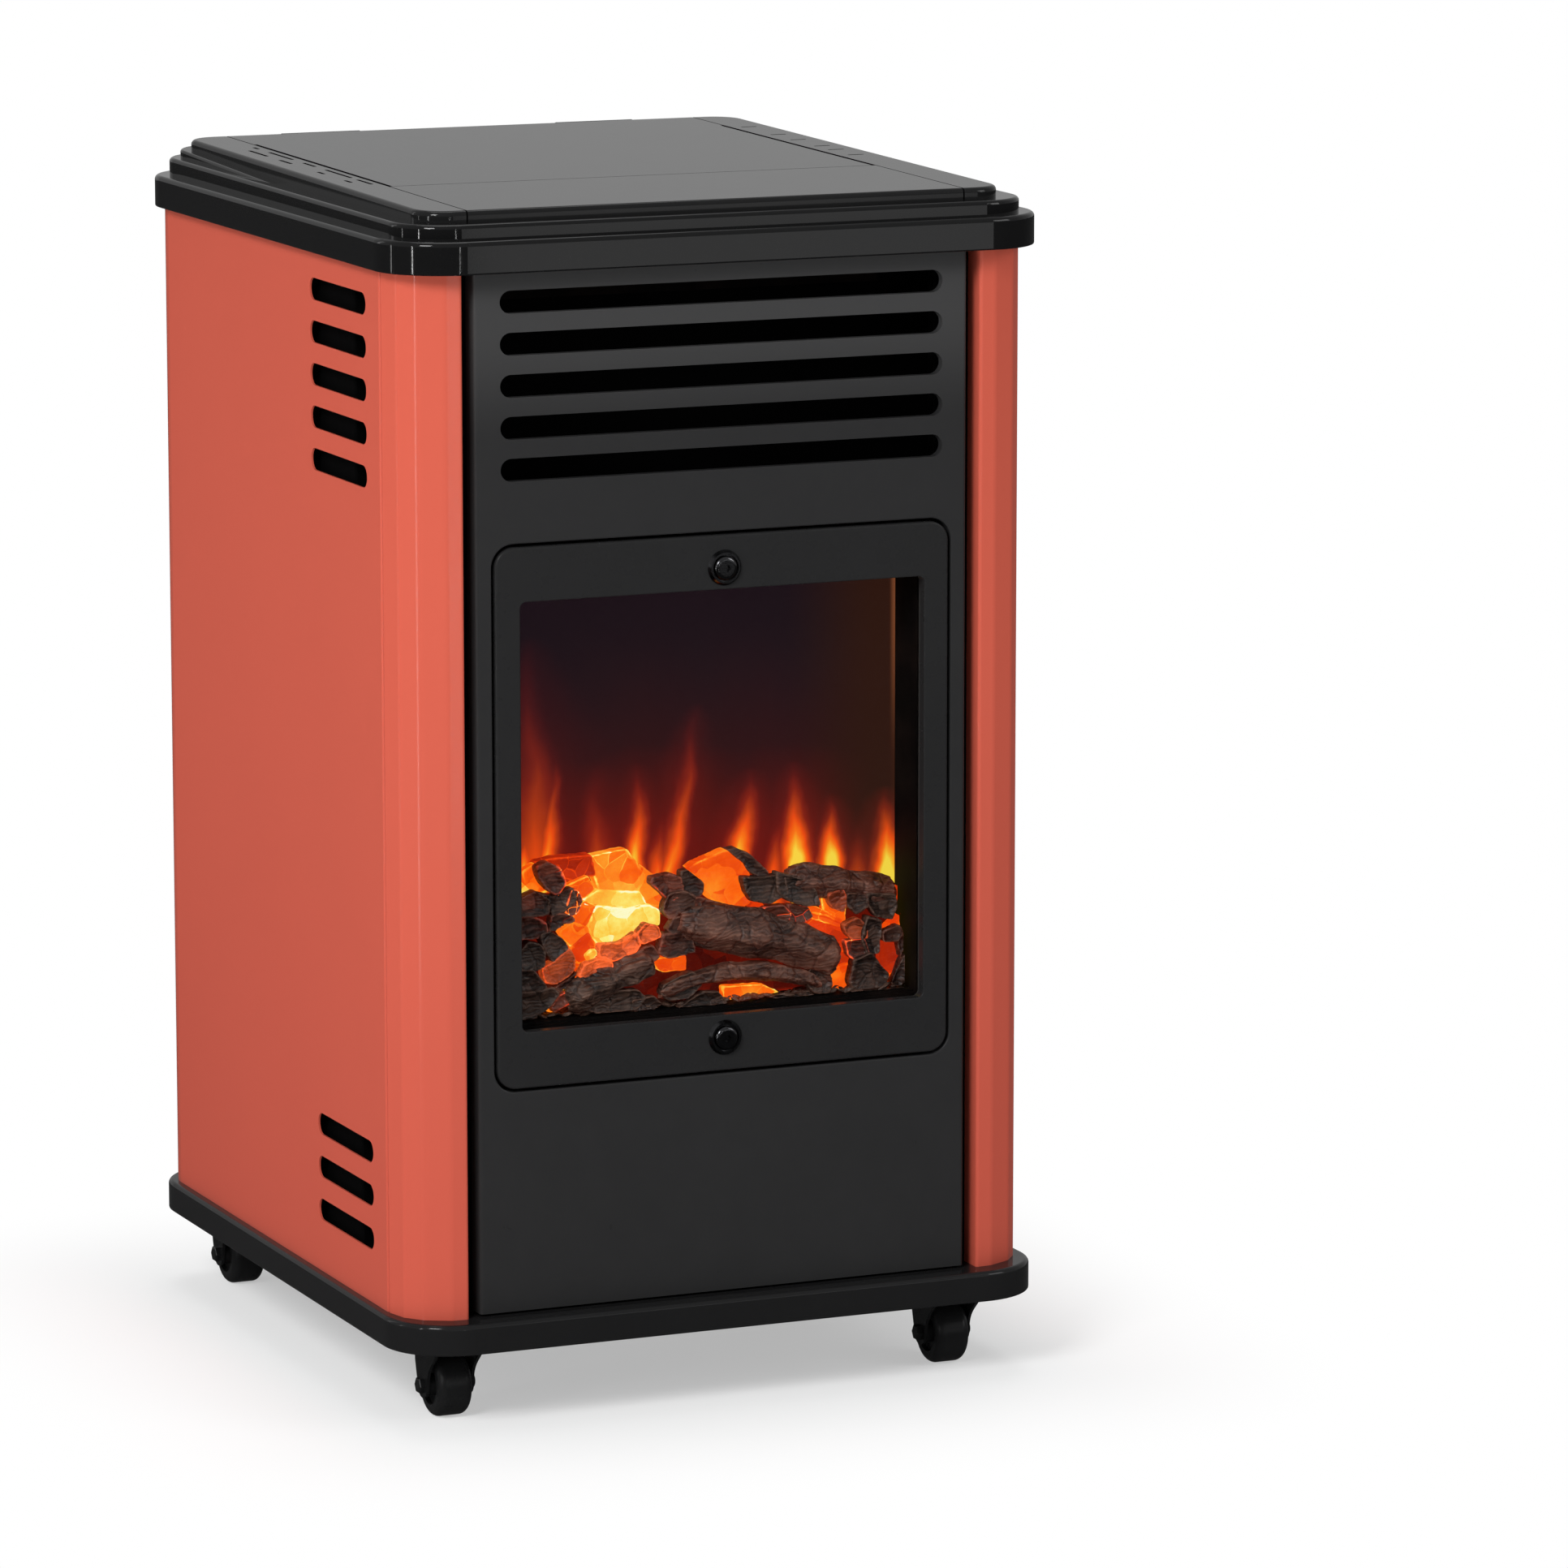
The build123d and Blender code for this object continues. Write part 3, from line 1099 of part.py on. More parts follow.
def make_lid():
    half = DEPTH / 2
    inner = SEAM_X - SEAM_GAP / 2
    front, rear = LID_FRONT + SEAM_GAP / 2, half - UPPER_INSET
    with BuildPart() as control_lid:
        sloped_slab(UPPER_INSET, TIER_FRONT - 4, UPPER_FRONT, UPPER_REAR, 3.0)
        block((-inner, inner), (front, half), (RIM_LOW, HEIGHT + 20), Mode.INTERSECT)
        tier(Mode.SUBTRACT)
        wedge(Mode.SUBTRACT)
        for side in (-1, 1):
            strip = sorted((side * (inner + 5), side * (inner - LID_SIDE_GAP + SEAM_GAP)))
            block(strip, (front - 5, NOTCH_Y), (RIM_LOW, HEIGHT + 20), Mode.SUBTRACT)
        skirt = LID_SIDE_GAP + 2.5
        sloped_box(
            (-inner + skirt, inner - skirt),
            (front + 3, rear - 6),
            RIM_TOP,
            UPPER_FRONT - 3,
            UPPER_REAR - 3,
            Mode.SUBTRACT,
        )
        # Knuckles at the back edge
        for side in (-1, 1):
            with BuildSketch(side_plane(side * HINGE_X - KNUCKLE_HALF)):
                with Locations((HINGE_Y, HINGE_Z)):
                    Circle(KNUCKLE_R)
                with Locations((HINGE_Y - 3.5, HINGE_Z + 1.5)):
                    Rectangle(7, 3)
            extrude(amount=2 * KNUCKLE_HALF)
        with BuildSketch(side_plane(-HINGE_X - 30)):
            with Locations((HINGE_Y, HINGE_Z)):
                Circle(HINGE_BORE_R)
        extrude(amount=2 * HINGE_X + 60, mode=Mode.SUBTRACT)
    keep(control_lid, "control_lid")


# ---------------------------------------------------------------- controls

def make_controls():
    fascia_top, fascia_width, fascia_depth = WELL_FLOOR + FASCIA_THICK, 204.0, 78.0
    floor_low = WELL_FLOOR - HOUSING_WALL
    collar_r, flat_x = 11.0, KNOB_X + 2.8
    grip_r, flute_r, skirt_high, socket_top = 15.5, 1.4, 5.0, KNOB_HIGH - 5
    bezel_r, bezel_high, nut_r, nut_thick = 12.5, 2.4, 14.0, 4.0
    hex_r, hex_thick, nose_r, nose_length, bore_r = 13.0, 9.0, 6.0, 4.0, 4.0
    with BuildPart() as control_fascia:
        with BuildSketch(Plane.XY.offset(WELL_FLOOR)):
            with Locations((0, KNOB_Y)):
                RectangleRounded(fascia_width, fascia_depth, 6)
            with Locations((KNOB_X, KNOB_Y)):
                Circle(NECK_R, mode=Mode.SUBTRACT)
            with Locations((IGNITER_X, KNOB_Y)):
                Circle(IGNITER_R, mode=Mode.SUBTRACT)
        extrude(amount=FASCIA_THICK)
        fillet(control_fascia.faces().sort_by(Axis.Z)[-1].outer_wire().edges(), radius=0.8)
    keep(control_fascia, "control_fascia")

    with BuildPart() as gas_valve:
        block(
            (KNOB_X - VALVE_HALF, KNOB_X + VALVE_HALF + 12),
            (KNOB_Y - VALVE_HALF, KNOB_Y + VALVE_HALF),
            (VALVE_LOW, VALVE_HIGH),
        )
        fillet(gas_valve.edges().filter_by(Axis.Z), radius=4)
        upright(KNOB_X, KNOB_Y, collar_r, VALVE_HIGH, floor_low)
        upright(KNOB_X, KNOB_Y, NECK_R, floor_low, fascia_top)
        upright(KNOB_X, KNOB_Y, PLUNGER_BORE_R, PLUNGER_LOW - 6, VALVE_HIGH, Mode.SUBTRACT)
        upright(KNOB_X, KNOB_Y, SPINDLE_BORE_R, VALVE_HIGH, fascia_top, Mode.SUBTRACT)
    keep(gas_valve, "gas_valve")

    with BuildPart() as valve_plunger:
        upright(KNOB_X, KNOB_Y, PLUNGER_R, PLUNGER_LOW, PLUNGER_HIGH)
        chamfer(valve_plunger.faces().sort_by(Axis.Z)[0].edges(), length=1)
    keep(valve_plunger, "valve_plunger")

    with BuildPart() as valve_spindle:
        upright(KNOB_X, KNOB_Y, SPINDLE_R, PLUNGER_HIGH, socket_top)
        # Flat on the end that turns with the knob
        block((flat_x, KNOB_X + 6), (KNOB_Y - 6, KNOB_Y + 6), (KNOB_LOW, KNOB_HIGH), Mode.SUBTRACT)
    keep(valve_spindle, "valve_spindle")

    with BuildPart() as control_knob:
        upright(KNOB_X, KNOB_Y, KNOB_R, KNOB_LOW, KNOB_LOW + skirt_high)
        fillet(control_knob.faces().sort_by(Axis.Z)[-1].edges(), radius=1.5)
        with BuildSketch(Plane.XY.offset(KNOB_LOW + 4)):
            with Locations((KNOB_X, KNOB_Y)):
                Circle(grip_r)
        extrude(amount=KNOB_HIGH - KNOB_LOW - 4, taper=3)
        # Grip flutes
        with BuildSketch(Plane.XY.offset(KNOB_LOW + 7)):
            with Locations((KNOB_X, KNOB_Y)):
                with PolarLocations(grip_r + flute_r / 2, 18):
                    Circle(flute_r)
        extrude(amount=20, mode=Mode.SUBTRACT)
        fillet(control_knob.faces().sort_by(Axis.Z)[-1].edges(), radius=0.8)
        upright(KNOB_X, KNOB_Y, SPINDLE_R, KNOB_LOW, socket_top, Mode.SUBTRACT)
        block((flat_x, KNOB_X + 6), (KNOB_Y - 5, KNOB_Y + 5), (KNOB_LOW + 0.2, socket_top))
        # Raised line that shows the setting
        block((KNOB_X - 1, KNOB_X + 1), (KNOB_Y - 13, KNOB_Y - 3), (KNOB_HIGH - 1, KNOB_HIGH + 0.6))
    keep(control_knob, "control_knob")

    with BuildPart() as igniter_body:
        upright(IGNITER_X, KNOB_Y, IGNITER_R, IGNITER_LOW, fascia_top)
        upright(IGNITER_X, KNOB_Y, bezel_r, fascia_top, fascia_top + bezel_high)
        fillet(igniter_body.faces().sort_by(Axis.Z)[-1].edges(), radius=0.8)
        with BuildSketch(Plane.XY.offset(floor_low)):
            with Locations((IGNITER_X, KNOB_Y)):
                RegularPolygon(nut_r, 6)
                Circle(IGNITER_R - 1, mode=Mode.SUBTRACT)
        extrude(amount=-nut_thick)
        upright(IGNITER_X, KNOB_Y, BUTTON_BORE_R, IGNITER_LOW + 10, fascia_top + 5, Mode.SUBTRACT)
    keep(igniter_body, "igniter_body")

    with BuildPart() as igniter_button:
        upright(IGNITER_X, KNOB_Y, BUTTON_R, IGNITER_LOW + 22, BUTTON_HIGH)
        fillet(igniter_button.faces().sort_by(Axis.Z)[-1].edges(), radius=1.4)
    keep(igniter_button, "igniter_button")

    inlet_y = KNOB_Y + VALVE_HALF
    with BuildPart() as gas_inlet:
        with BuildSketch(front_plane(inlet_y)):
            with Locations((KNOB_X, PIPE_Z)):
                RegularPolygon(hex_r, 6)
        extrude(amount=-hex_thick)
        for start, radius, length in (
            (hex_thick, INLET_R, INLET_LENGTH),
            (hex_thick + INLET_LENGTH, nose_r, nose_length),
        ):
            with BuildSketch(front_plane(inlet_y + start)):
                with Locations((KNOB_X, PIPE_Z)):
                    Circle(radius)
            extrude(amount=-length)
        with BuildSketch(front_plane(inlet_y + 4)):
            with Locations((KNOB_X, PIPE_Z)):
                Circle(bore_r)
        extrude(amount=-(hex_thick + INLET_LENGTH + nose_length), mode=Mode.SUBTRACT)
    keep(gas_inlet, "gas_inlet")


if __name__ == "__main__":
    make_base_tray()
    make_castors()
    make_side_panels()
    make_corner_columns()
    make_front_panel()
    make_chassis_channels()
    make_rear_bulkhead()
    make_rear_cover()
    make_window()
    make_firebox()
    make_burner()
    make_pilot()
    make_gas_feed_pipe()
    make_heat_deflector()
    make_top_housing()
    make_top_caps()
    make_lid()
    make_controls()
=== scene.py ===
# Portable gas cabinet heater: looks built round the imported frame. Metres, Z up, front towards -Y.
import math
import bpy
from mathutils import Euler, Matrix, Vector


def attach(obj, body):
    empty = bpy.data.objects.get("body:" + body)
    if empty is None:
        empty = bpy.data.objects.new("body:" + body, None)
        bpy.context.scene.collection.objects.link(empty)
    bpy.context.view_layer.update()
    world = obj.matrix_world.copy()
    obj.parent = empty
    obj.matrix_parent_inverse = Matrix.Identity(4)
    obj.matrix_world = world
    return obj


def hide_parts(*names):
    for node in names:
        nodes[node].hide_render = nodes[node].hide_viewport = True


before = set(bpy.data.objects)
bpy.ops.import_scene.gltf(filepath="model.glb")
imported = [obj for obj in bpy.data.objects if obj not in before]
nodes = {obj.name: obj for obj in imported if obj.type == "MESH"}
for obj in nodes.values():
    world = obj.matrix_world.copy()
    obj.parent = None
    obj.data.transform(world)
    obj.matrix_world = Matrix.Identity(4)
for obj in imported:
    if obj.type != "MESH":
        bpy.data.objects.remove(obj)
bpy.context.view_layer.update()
print("frame loaded:", len(nodes), "nodes")


# shader maths as plain expressions

class Value:
    def __init__(self, finish, socket):
        self.finish = finish
        self.socket = socket

    def maths(self, operation, other=None, clamp=False, swapped=False):
        first, second = (other, self) if swapped else (self, other)
        values = {0: first} if second is None else {0: first, 1: second}
        return self.finish.node("ShaderNodeMath", {"operation": operation, "use_clamp": clamp}, values)

    def __add__(self, other):
        return self.maths("ADD", other)

    def __radd__(self, other):
        return self.maths("ADD", other)

    def __sub__(self, other):
        return self.maths("SUBTRACT", other)

    def __rsub__(self, other):
        return self.maths("SUBTRACT", other, swapped=True)

    def __mul__(self, other):
        return self.maths("MULTIPLY", other)

    def __rmul__(self, other):
        return self.maths("MULTIPLY", other)

    def __truediv__(self, other):
        return self.maths("DIVIDE", other)

    def __rtruediv__(self, other):
        return self.maths("DIVIDE", other, swapped=True)

    def __pow__(self, other):
        return self.maths("POWER", other)

    def clamped(self):
        return self.maths("ADD", 0.0, clamp=True)

    def atLeast(self, other):
        return self.maths("MAXIMUM", other)

    def size(self):
        return self.maths("ABSOLUTE")

    def smooth(self, low, high, toLow=0.0, toHigh=1.0):
        values = {0: self, 1: low, 2: high, 3: toLow, 4: toHigh}
        return self.finish.node("ShaderNodeMapRange", {"interpolation_type": "SMOOTHSTEP"}, values)


class Finish:
    def __init__(self, name):
        self.material = bpy.data.materials.new(name)
        self.material.use_nodes = True
        self.tree = self.material.node_tree
        self.tree.nodes.clear()
        self.output = self.tree.nodes.new("ShaderNodeOutputMaterial")
        self.place = self.node("ShaderNodeTexCoord", {}, {}, "Object")
        apart = self.node("ShaderNodeSeparateXYZ", {}, {0: self.place}, None)
        self.x, self.y, self.z = [Value(self, apart.outputs[i]) for i in range(3)]

    def node(self, kind, settings, values, output=0):
        made = self.tree.nodes.new(kind)
        for name, setting in settings.items():
            if name == "stops":
                ramp = made.color_ramp
                while len(ramp.elements) < len(setting):
                    ramp.elements.new(0.5)   # it gets its place below
                for element, (at, colour) in zip(ramp.elements, setting):
                    element.position = at
                    element.color = (*colour, 1.0)
            else:
                setattr(made, name, setting)
        for name, value in values.items():
            socket = made.inputs[name]
            if isinstance(value, Value):
                self.tree.links.new(value.socket, socket)
            elif isinstance(value, tuple) and socket.type == "RGBA":
                socket.default_value = (*value, 1.0)
            else:
                socket.default_value = value
        return made if output is None else Value(self, made.outputs[output])

    def noise(self, scale, detail=3.0, roughness=0.55, place=None):
        values = {"Vector": place or self.place, "Scale": scale, "Detail": detail, "Roughness": roughness}
        return self.node("ShaderNodeTexNoise", {}, values, "Fac")

    def cells(self, scale, feature="F1", output="Distance", place=None):
        values = {"Vector": place or self.place, "Scale": scale}
        return self.node("ShaderNodeTexVoronoi", {"feature": feature}, values, output)

    def cellTone(self, scale, place):
        colour = self.cells(scale, "F1", "Color", place)
        return self.node("ShaderNodeSeparateColor", {}, {0: colour}, 0)

    def ramp(self, factor, stops):
        return self.node("ShaderNodeValToRGB", {"stops": stops}, {0: factor}, "Color")

    def mixed(self, factor, first, second, blend="MIX"):
        settings = {"data_type": "RGBA", "blend_type": blend, "clamp_factor": True}
        return self.node("ShaderNodeMix", settings, {"Factor": factor, 6: first, 7: second}, 2)

    def stretched(self, x, y, z):
        return self.node("ShaderNodeMapping", {}, {"Vector": self.place, "Scale": (x, y, z)})

    def shifted(self, x, y, z):
        push = self.node("ShaderNodeCombineXYZ", {}, {0: x, 1: y, 2: z})
        return self.node("ShaderNodeVectorMath", {"operation": "ADD"}, {0: self.place, 1: push})

    def bump(self, height, strength, distance):
        values = {"Height": height, "Strength": strength, "Distance": distance}
        return self.node("ShaderNodeBump", {}, values)

    def near(self, across, height, reachX, reachZ):
        dx = (self.x - across) / reachX
        dz = (self.z - height) / reachZ
        return (1.0 - (dx * dx + dz * dz) ** 0.5).clamped()

    def surface(self, **values):
        named = {name.replace("_", " "): value for name, value in values.items()}
        shader = self.node("ShaderNodeBsdfPrincipled", {}, named)
        self.tree.links.new(shader.socket, self.output.inputs["Surface"])
        return self.material


def dress(names, material):
    for name in names:
        thing = nodes[name]
        thing.data.materials.clear()
        thing.data.materials.append(material)


# painted casing

coralPaint = {
    "colour": (0.532, 0.096, 0.060),
    # deep is painted shade: the darker coral towards the floor
    "deep": (0.455, 0.078, 0.050),
    "deepZ": (0.06, 0.60),   # between these heights the colour deepens towards the floor, as painted shade
    "drift": 3.2,            # scale of the slow change of tone over a panel
    "peelScale": 420.0,      # orange peel of the powder coat
    "peel": 0.05,
    "peelDepth": 0.0004,
    "roughness": 0.13,
    "rubScale": 28.0,        # patches that are a little less glossy
    "specular": 0.16,
}

def paintedCoral(say):
    paint = Finish("coralPaint")
    drift = paint.noise(say["drift"], 2.0)
    # painted shade: the coral darkens towards the floor
    low = paint.z.smooth(*say["deepZ"], 0.55, 0.0)
    tone = (drift * 0.45 + low).clamped()
    colour = paint.mixed(tone, say["colour"], say["deep"])
    peel = paint.noise(say["peelScale"], 2.0, 0.5)
    fine = paint.noise(say["peelScale"] * 4, 1.0, 0.5)
    roughness = say["roughness"] + paint.noise(say["rubScale"], 3.0) * 0.08
    return paint.surface(Base_Color=colour, Roughness=roughness, Specular_IOR_Level=say["specular"],
                         Normal=paint.bump(peel + fine * 0.35, say["peel"], say["peelDepth"]))

dress(["left_side_panel", "right_side_panel", "left_corner_column", "right_corner_column"],
      paintedCoral(coralPaint))
print("coral casing painted")


# black sheet metal and mouldings

blacks = {
    # the high colour of panelBlack is painted highlight, the paler band under the rim
    "panelBlack": {"colour": (0.0175, 0.0175, 0.0180), "pale": (0.0225, 0.0224, 0.0228),
                   "high": (0.0400, 0.0400, 0.0405), "roughness": 0.30, "specular": 0.08, "grain": 1300.0,
                   "bump": 0.06},
    "windowFrameBlack": {"colour": (0.0135, 0.0135, 0.0139), "pale": (0.0175, 0.0175, 0.0178),
                         "roughness": 0.28, "specular": 0.07, "grain": 1500.0, "bump": 0.05},
    "topMouldingBlack": {"colour": (0.0042, 0.0042, 0.0043), "pale": (0.0062, 0.0062, 0.0064),
                         "roughness": 0.060, "specular": 0.19, "grain": 1700.0, "bump": 0.012},
    "lidBlack": {"colour": (0.0075, 0.0075, 0.0077), "pale": (0.0105, 0.0105, 0.0107),
                 "roughness": 0.11, "specular": 0.150, "grain": 1700.0, "bump": 0.02},
    "baseBlack": {"colour": (0.0085, 0.0085, 0.0087), "pale": (0.0115, 0.0115, 0.0118),
                  "roughness": 0.10, "specular": 0.13, "grain": 1500.0, "bump": 0.03},
    "innerSheetBlack": {"colour": (0.0012, 0.0012, 0.0013), "pale": (0.0020, 0.0020, 0.0021),
                        "roughness": 0.80, "specular": 0.02, "grain": 900.0, "bump": 0.10},
    "castorBlack": {"colour": (0.0080, 0.0080, 0.0083), "pale": (0.0120, 0.0120, 0.0123),
                    "roughness": 0.28, "specular": 0.10, "grain": 1100.0, "bump": 0.08},
    "castorPaint": {"colour": (0.0070, 0.0070, 0.0072), "pale": (0.0100, 0.0100, 0.0103),
                    "roughness": 0.20, "specular": 0.14, "grain": 900.0, "bump": 0.05},
}

satin = {
    "cloudScale": 9.0,       # soft patches of the paler tone
    "rubScale": 65.0,        # small rubbed places, paler and less glossy
    "grainDepth": 0.0003,
    "highZ": (0.60, 0.675),  # between these heights the painted panels grow paler towards the rim, as painted highlight
}

def satinBlack(name):
    say = blacks[name]
    made = Finish(name)
    cloud = made.noise(satin["cloudScale"], 4.0)
    rub = made.noise(satin["rubScale"], 5.0, 0.65)
    colour = made.mixed((cloud * 0.7 + rub * 0.5 - 0.1).clamped(), say["colour"], say["pale"])
    # painted highlight: the colour grows paler towards the rim
    if "high" in say:
        colour = made.mixed(made.z.smooth(*satin["highZ"]), colour, say["high"])
    grain = made.noise(say["grain"], 2.0, 0.6)
    pits = made.cells(say["grain"] * 0.8)
    roughness = say["roughness"] * (0.80 + rub * 0.40)
    return made.surface(Base_Color=colour, Roughness=roughness, Specular_IOR_Level=say["specular"],
                        Normal=made.bump(grain + pits * 0.4, say["bump"], satin["grainDepth"]))

black = {name: satinBlack(name) for name in blacks}
dress(["front_panel", "rear_cover"], black["panelBlack"])
dress(["window_frame"], black["windowFrameBlack"])
dress(["chassis_channels", "rear_bulkhead"], black["innerSheetBlack"])
dress(["top_housing", "cover_catches"], black["topMouldingBlack"])
dress(["left_top_cap", "right_top_cap", "front_top_strip", "control_lid", "control_fascia"],
      black["lidBlack"])
dress(["base_tray"], black["baseBlack"])
dress([name for name in nodes if name.startswith("castor_wheel")], black["castorBlack"])
dress([name for name in nodes if name.startswith(("castor_fork", "castor_axle", "castor_plates"))],
      black["castorPaint"])
print("black sheet and mouldings dressed")


# metal, rubber and plastic of the fittings

fittings = {
    # colour, worn colour, metallic, roughness, scale of the stains
    "brightSteel": ((0.50, 0.50, 0.51), (0.30, 0.30, 0.31), 1.0, 0.22, 90.0),
    "darkSteel": ((0.060, 0.060, 0.063), (0.035, 0.035, 0.037), 1.0, 0.12, 90.0),
    "fireboxSteel": ((0.0035, 0.0028, 0.0026), (0.0090, 0.0055, 0.0045), 0.0, 0.62, 30.0),
    "brass": ((0.62, 0.40, 0.13), (0.40, 0.24, 0.08), 1.0, 0.30, 70.0),
    "copper": ((0.62, 0.27, 0.15), (0.34, 0.14, 0.08), 1.0, 0.33, 50.0),
}

machined = {"Scale": 240.0, "Distortion": 2.0, "Detail": 1.0}   # fine lines, as of machining

def fitting(name):
    colour, worn, metallic, roughness, scale = fittings[name]
    made = Finish(name)
    stain = made.noise(scale, 5.0, 0.65)
    rings = made.node("ShaderNodeTexWave", {"wave_type": "RINGS", "rings_direction": "SPHERICAL"},
                      {"Vector": made.place, **machined}, "Fac")
    stained = made.mixed(stain.smooth(0.42, 0.72), colour, worn)
    rough = roughness + stain * 0.16 - 0.06
    height = made.noise(scale * 14, 2.0) + rings * 0.12
    return made.surface(Base_Color=stained, Metallic=metallic, Roughness=rough,
                        Specular_IOR_Level=0.5 if metallic else 0.03,
                        Normal=made.bump(height, 0.06, 0.0002))

metal = {name: fitting(name) for name in fittings}
dress(["casing_screws", "lid_hinge_pins", "valve_spindle", "valve_plunger", "pilot_burner"],
      metal["brightSteel"])
dress(["frame_screws", "frame_cup_washers"], metal["darkSteel"])
dress(["gas_inlet", "gas_valve", "burner_injector"], metal["brass"])
dress(["gas_feed_pipe", "pilot_pipe", "thermocouple"], metal["copper"])
dress(["firebox_liner", "log_tray", "burner_shelf", "burner_tube", "heat_deflector"],
      metal["fireboxSteel"])

plastics = {
    # the two ends of the colour, roughness, scale of the clouds
    "knobPlastic": ((0.0070, 0.0070, 0.0075), (0.012, 0.012, 0.0125), 0.32, 60.0),
    "igniterPlastic": ((0.012, 0.012, 0.0125), (0.020, 0.020, 0.021), 0.28, 60.0),
    "buttonPlastic": ((0.30, 0.018, 0.012), (0.38, 0.026, 0.018), 0.26, 60.0),
    "gasketRope": ((0.012, 0.011, 0.010), (0.030, 0.028, 0.026), 0.85, 240.0),
    "leadSleeve": ((0.48, 0.46, 0.42), (0.36, 0.34, 0.31), 0.42, 200.0),
    "dialPrint": ((0.62, 0.62, 0.60), (0.52, 0.52, 0.50), 0.50, 300.0),
}

def plainPlastic(name):
    first, second, roughness, scale = plastics[name]
    made = Finish(name)
    cloud = made.noise(scale, 4.0)
    skin = made.noise(scale * 20, 2.0)
    return made.surface(Base_Color=made.mixed(cloud, first, second), Roughness=roughness + cloud * 0.1,
                        Specular_IOR_Level=0.4, Normal=made.bump(skin, 0.10, 0.0002))

plastic = {name: plainPlastic(name) for name in plastics}
dress(["control_knob"], plastic["knobPlastic"])
dress(["igniter_body"], plastic["igniterPlastic"])
dress(["igniter_button"], plastic["buttonPlastic"])
dress(["glass_gasket"], plastic["gasketRope"])
dress(["spark_electrode"], plastic["leadSleeve"])
print("fittings dressed")


# glass

windowGlass = {
    "tint": (0.002, 0.002, 0.002),
    "smeared": (0.004, 0.004, 0.004),
    "smearScale": 14.0,
    "specular": 0.012,
    "roughness": 0.02,
    "alpha": 0.08,
}

def smokedGlass(say):
    glass = Finish("smokedGlass")
    smear = glass.noise(say["smearScale"], 4.0, 0.6)
    colour = glass.mixed(smear, say["tint"], say["smeared"])
    return glass.surface(Base_Color=colour, Specular_IOR_Level=say["specular"],
                         Roughness=say["roughness"] + smear * 0.03, Alpha=say["alpha"] + smear * 0.02)

dress(["window_glass"], smokedGlass(windowGlass))
print("glass dressed")


# the flames, painted in light on the screen behind the logs

flameScreen = {
    # across, foot height, tip height, half width, lean of the tip, strength
    "flames": [
        (-0.1045, 0.330, 0.478, 0.0170, -0.005, 0.44),
        (-0.0965, 0.332, 0.412, 0.0072, 0.003, 0.74),
        (-0.1120, 0.330, 0.368, 0.0056, 0.002, 0.82),
        (-0.0660, 0.330, 0.400, 0.0110, 0.000, 0.42),
        (-0.0395, 0.328, 0.396, 0.0086, 0.001, 0.92),
        (-0.0180, 0.322, 0.430, 0.0082, 0.021, 0.72),
        (-0.0250, 0.324, 0.364, 0.0066, 0.004, 0.62),
        (0.0295, 0.326, 0.388, 0.0086, 0.007, 0.92),
        (0.0540, 0.318, 0.354, 0.0070, 0.004, 0.50),
        (0.0700, 0.312, 0.390, 0.0090, -0.006, 1.22),
        (0.0900, 0.312, 0.368, 0.0092, -0.001, 1.30),
        (0.1275, 0.302, 0.370, 0.0106, 0.001, 1.30),
        (0.1080, 0.304, 0.350, 0.0080, 0.002, 0.44),
    ],
    "colours": [
        (0.0, (0.0, 0.0, 0.0)), (0.12, (0.050, 0.0020, 0.001)), (0.26, (0.17, 0.010, 0.002)),
        (0.42, (0.42, 0.040, 0.002)), (0.58, (0.86, 0.075, 0.001)), (0.74, (1.0, 0.19, 0.004)),
        (0.88, (1.0, 0.48, 0.022)), (1.0, (1.0, 0.76, 0.06)),
    ],
    "swayScale": 30.0,       # how finely the flames waver, and how far sideways
    "sway": 0.020,
    "widen": 1.55,           # a flame fades out at this many of its half widths
    "bright": 1.16,          # brightness of the flames
    "halo": 0.19,            # brightness of the glow round them
    "haloWidth": 3.0,        # reach of that glow, in widths of the flame
    "haze": [                # light of the fire on the screen, from its foot to its top
        (0.0, (0.1300, 0.0070, 0.0045)), (0.22, (0.078, 0.0068, 0.0055)),
        (0.50, (0.0290, 0.0068, 0.0080)), (1.0, (0.0125, 0.0066, 0.0100)),
    ],
    "hazeZ": (0.315, 0.485),
    "right": (0.0300, 0.0098, 0.0055),   # a browner haze towards the right
    "rightX": (0.055, 0.125),
    "edge": (0.185, 0.058, 0.022),       # a lit line up the right edge
    "edgeX": (0.1300, 0.1338),
    "edgeZ": (0.38, 0.48),
    "metal": ((0.003, 0.002, 0.002), (0.005, 0.003, 0.003)),
}

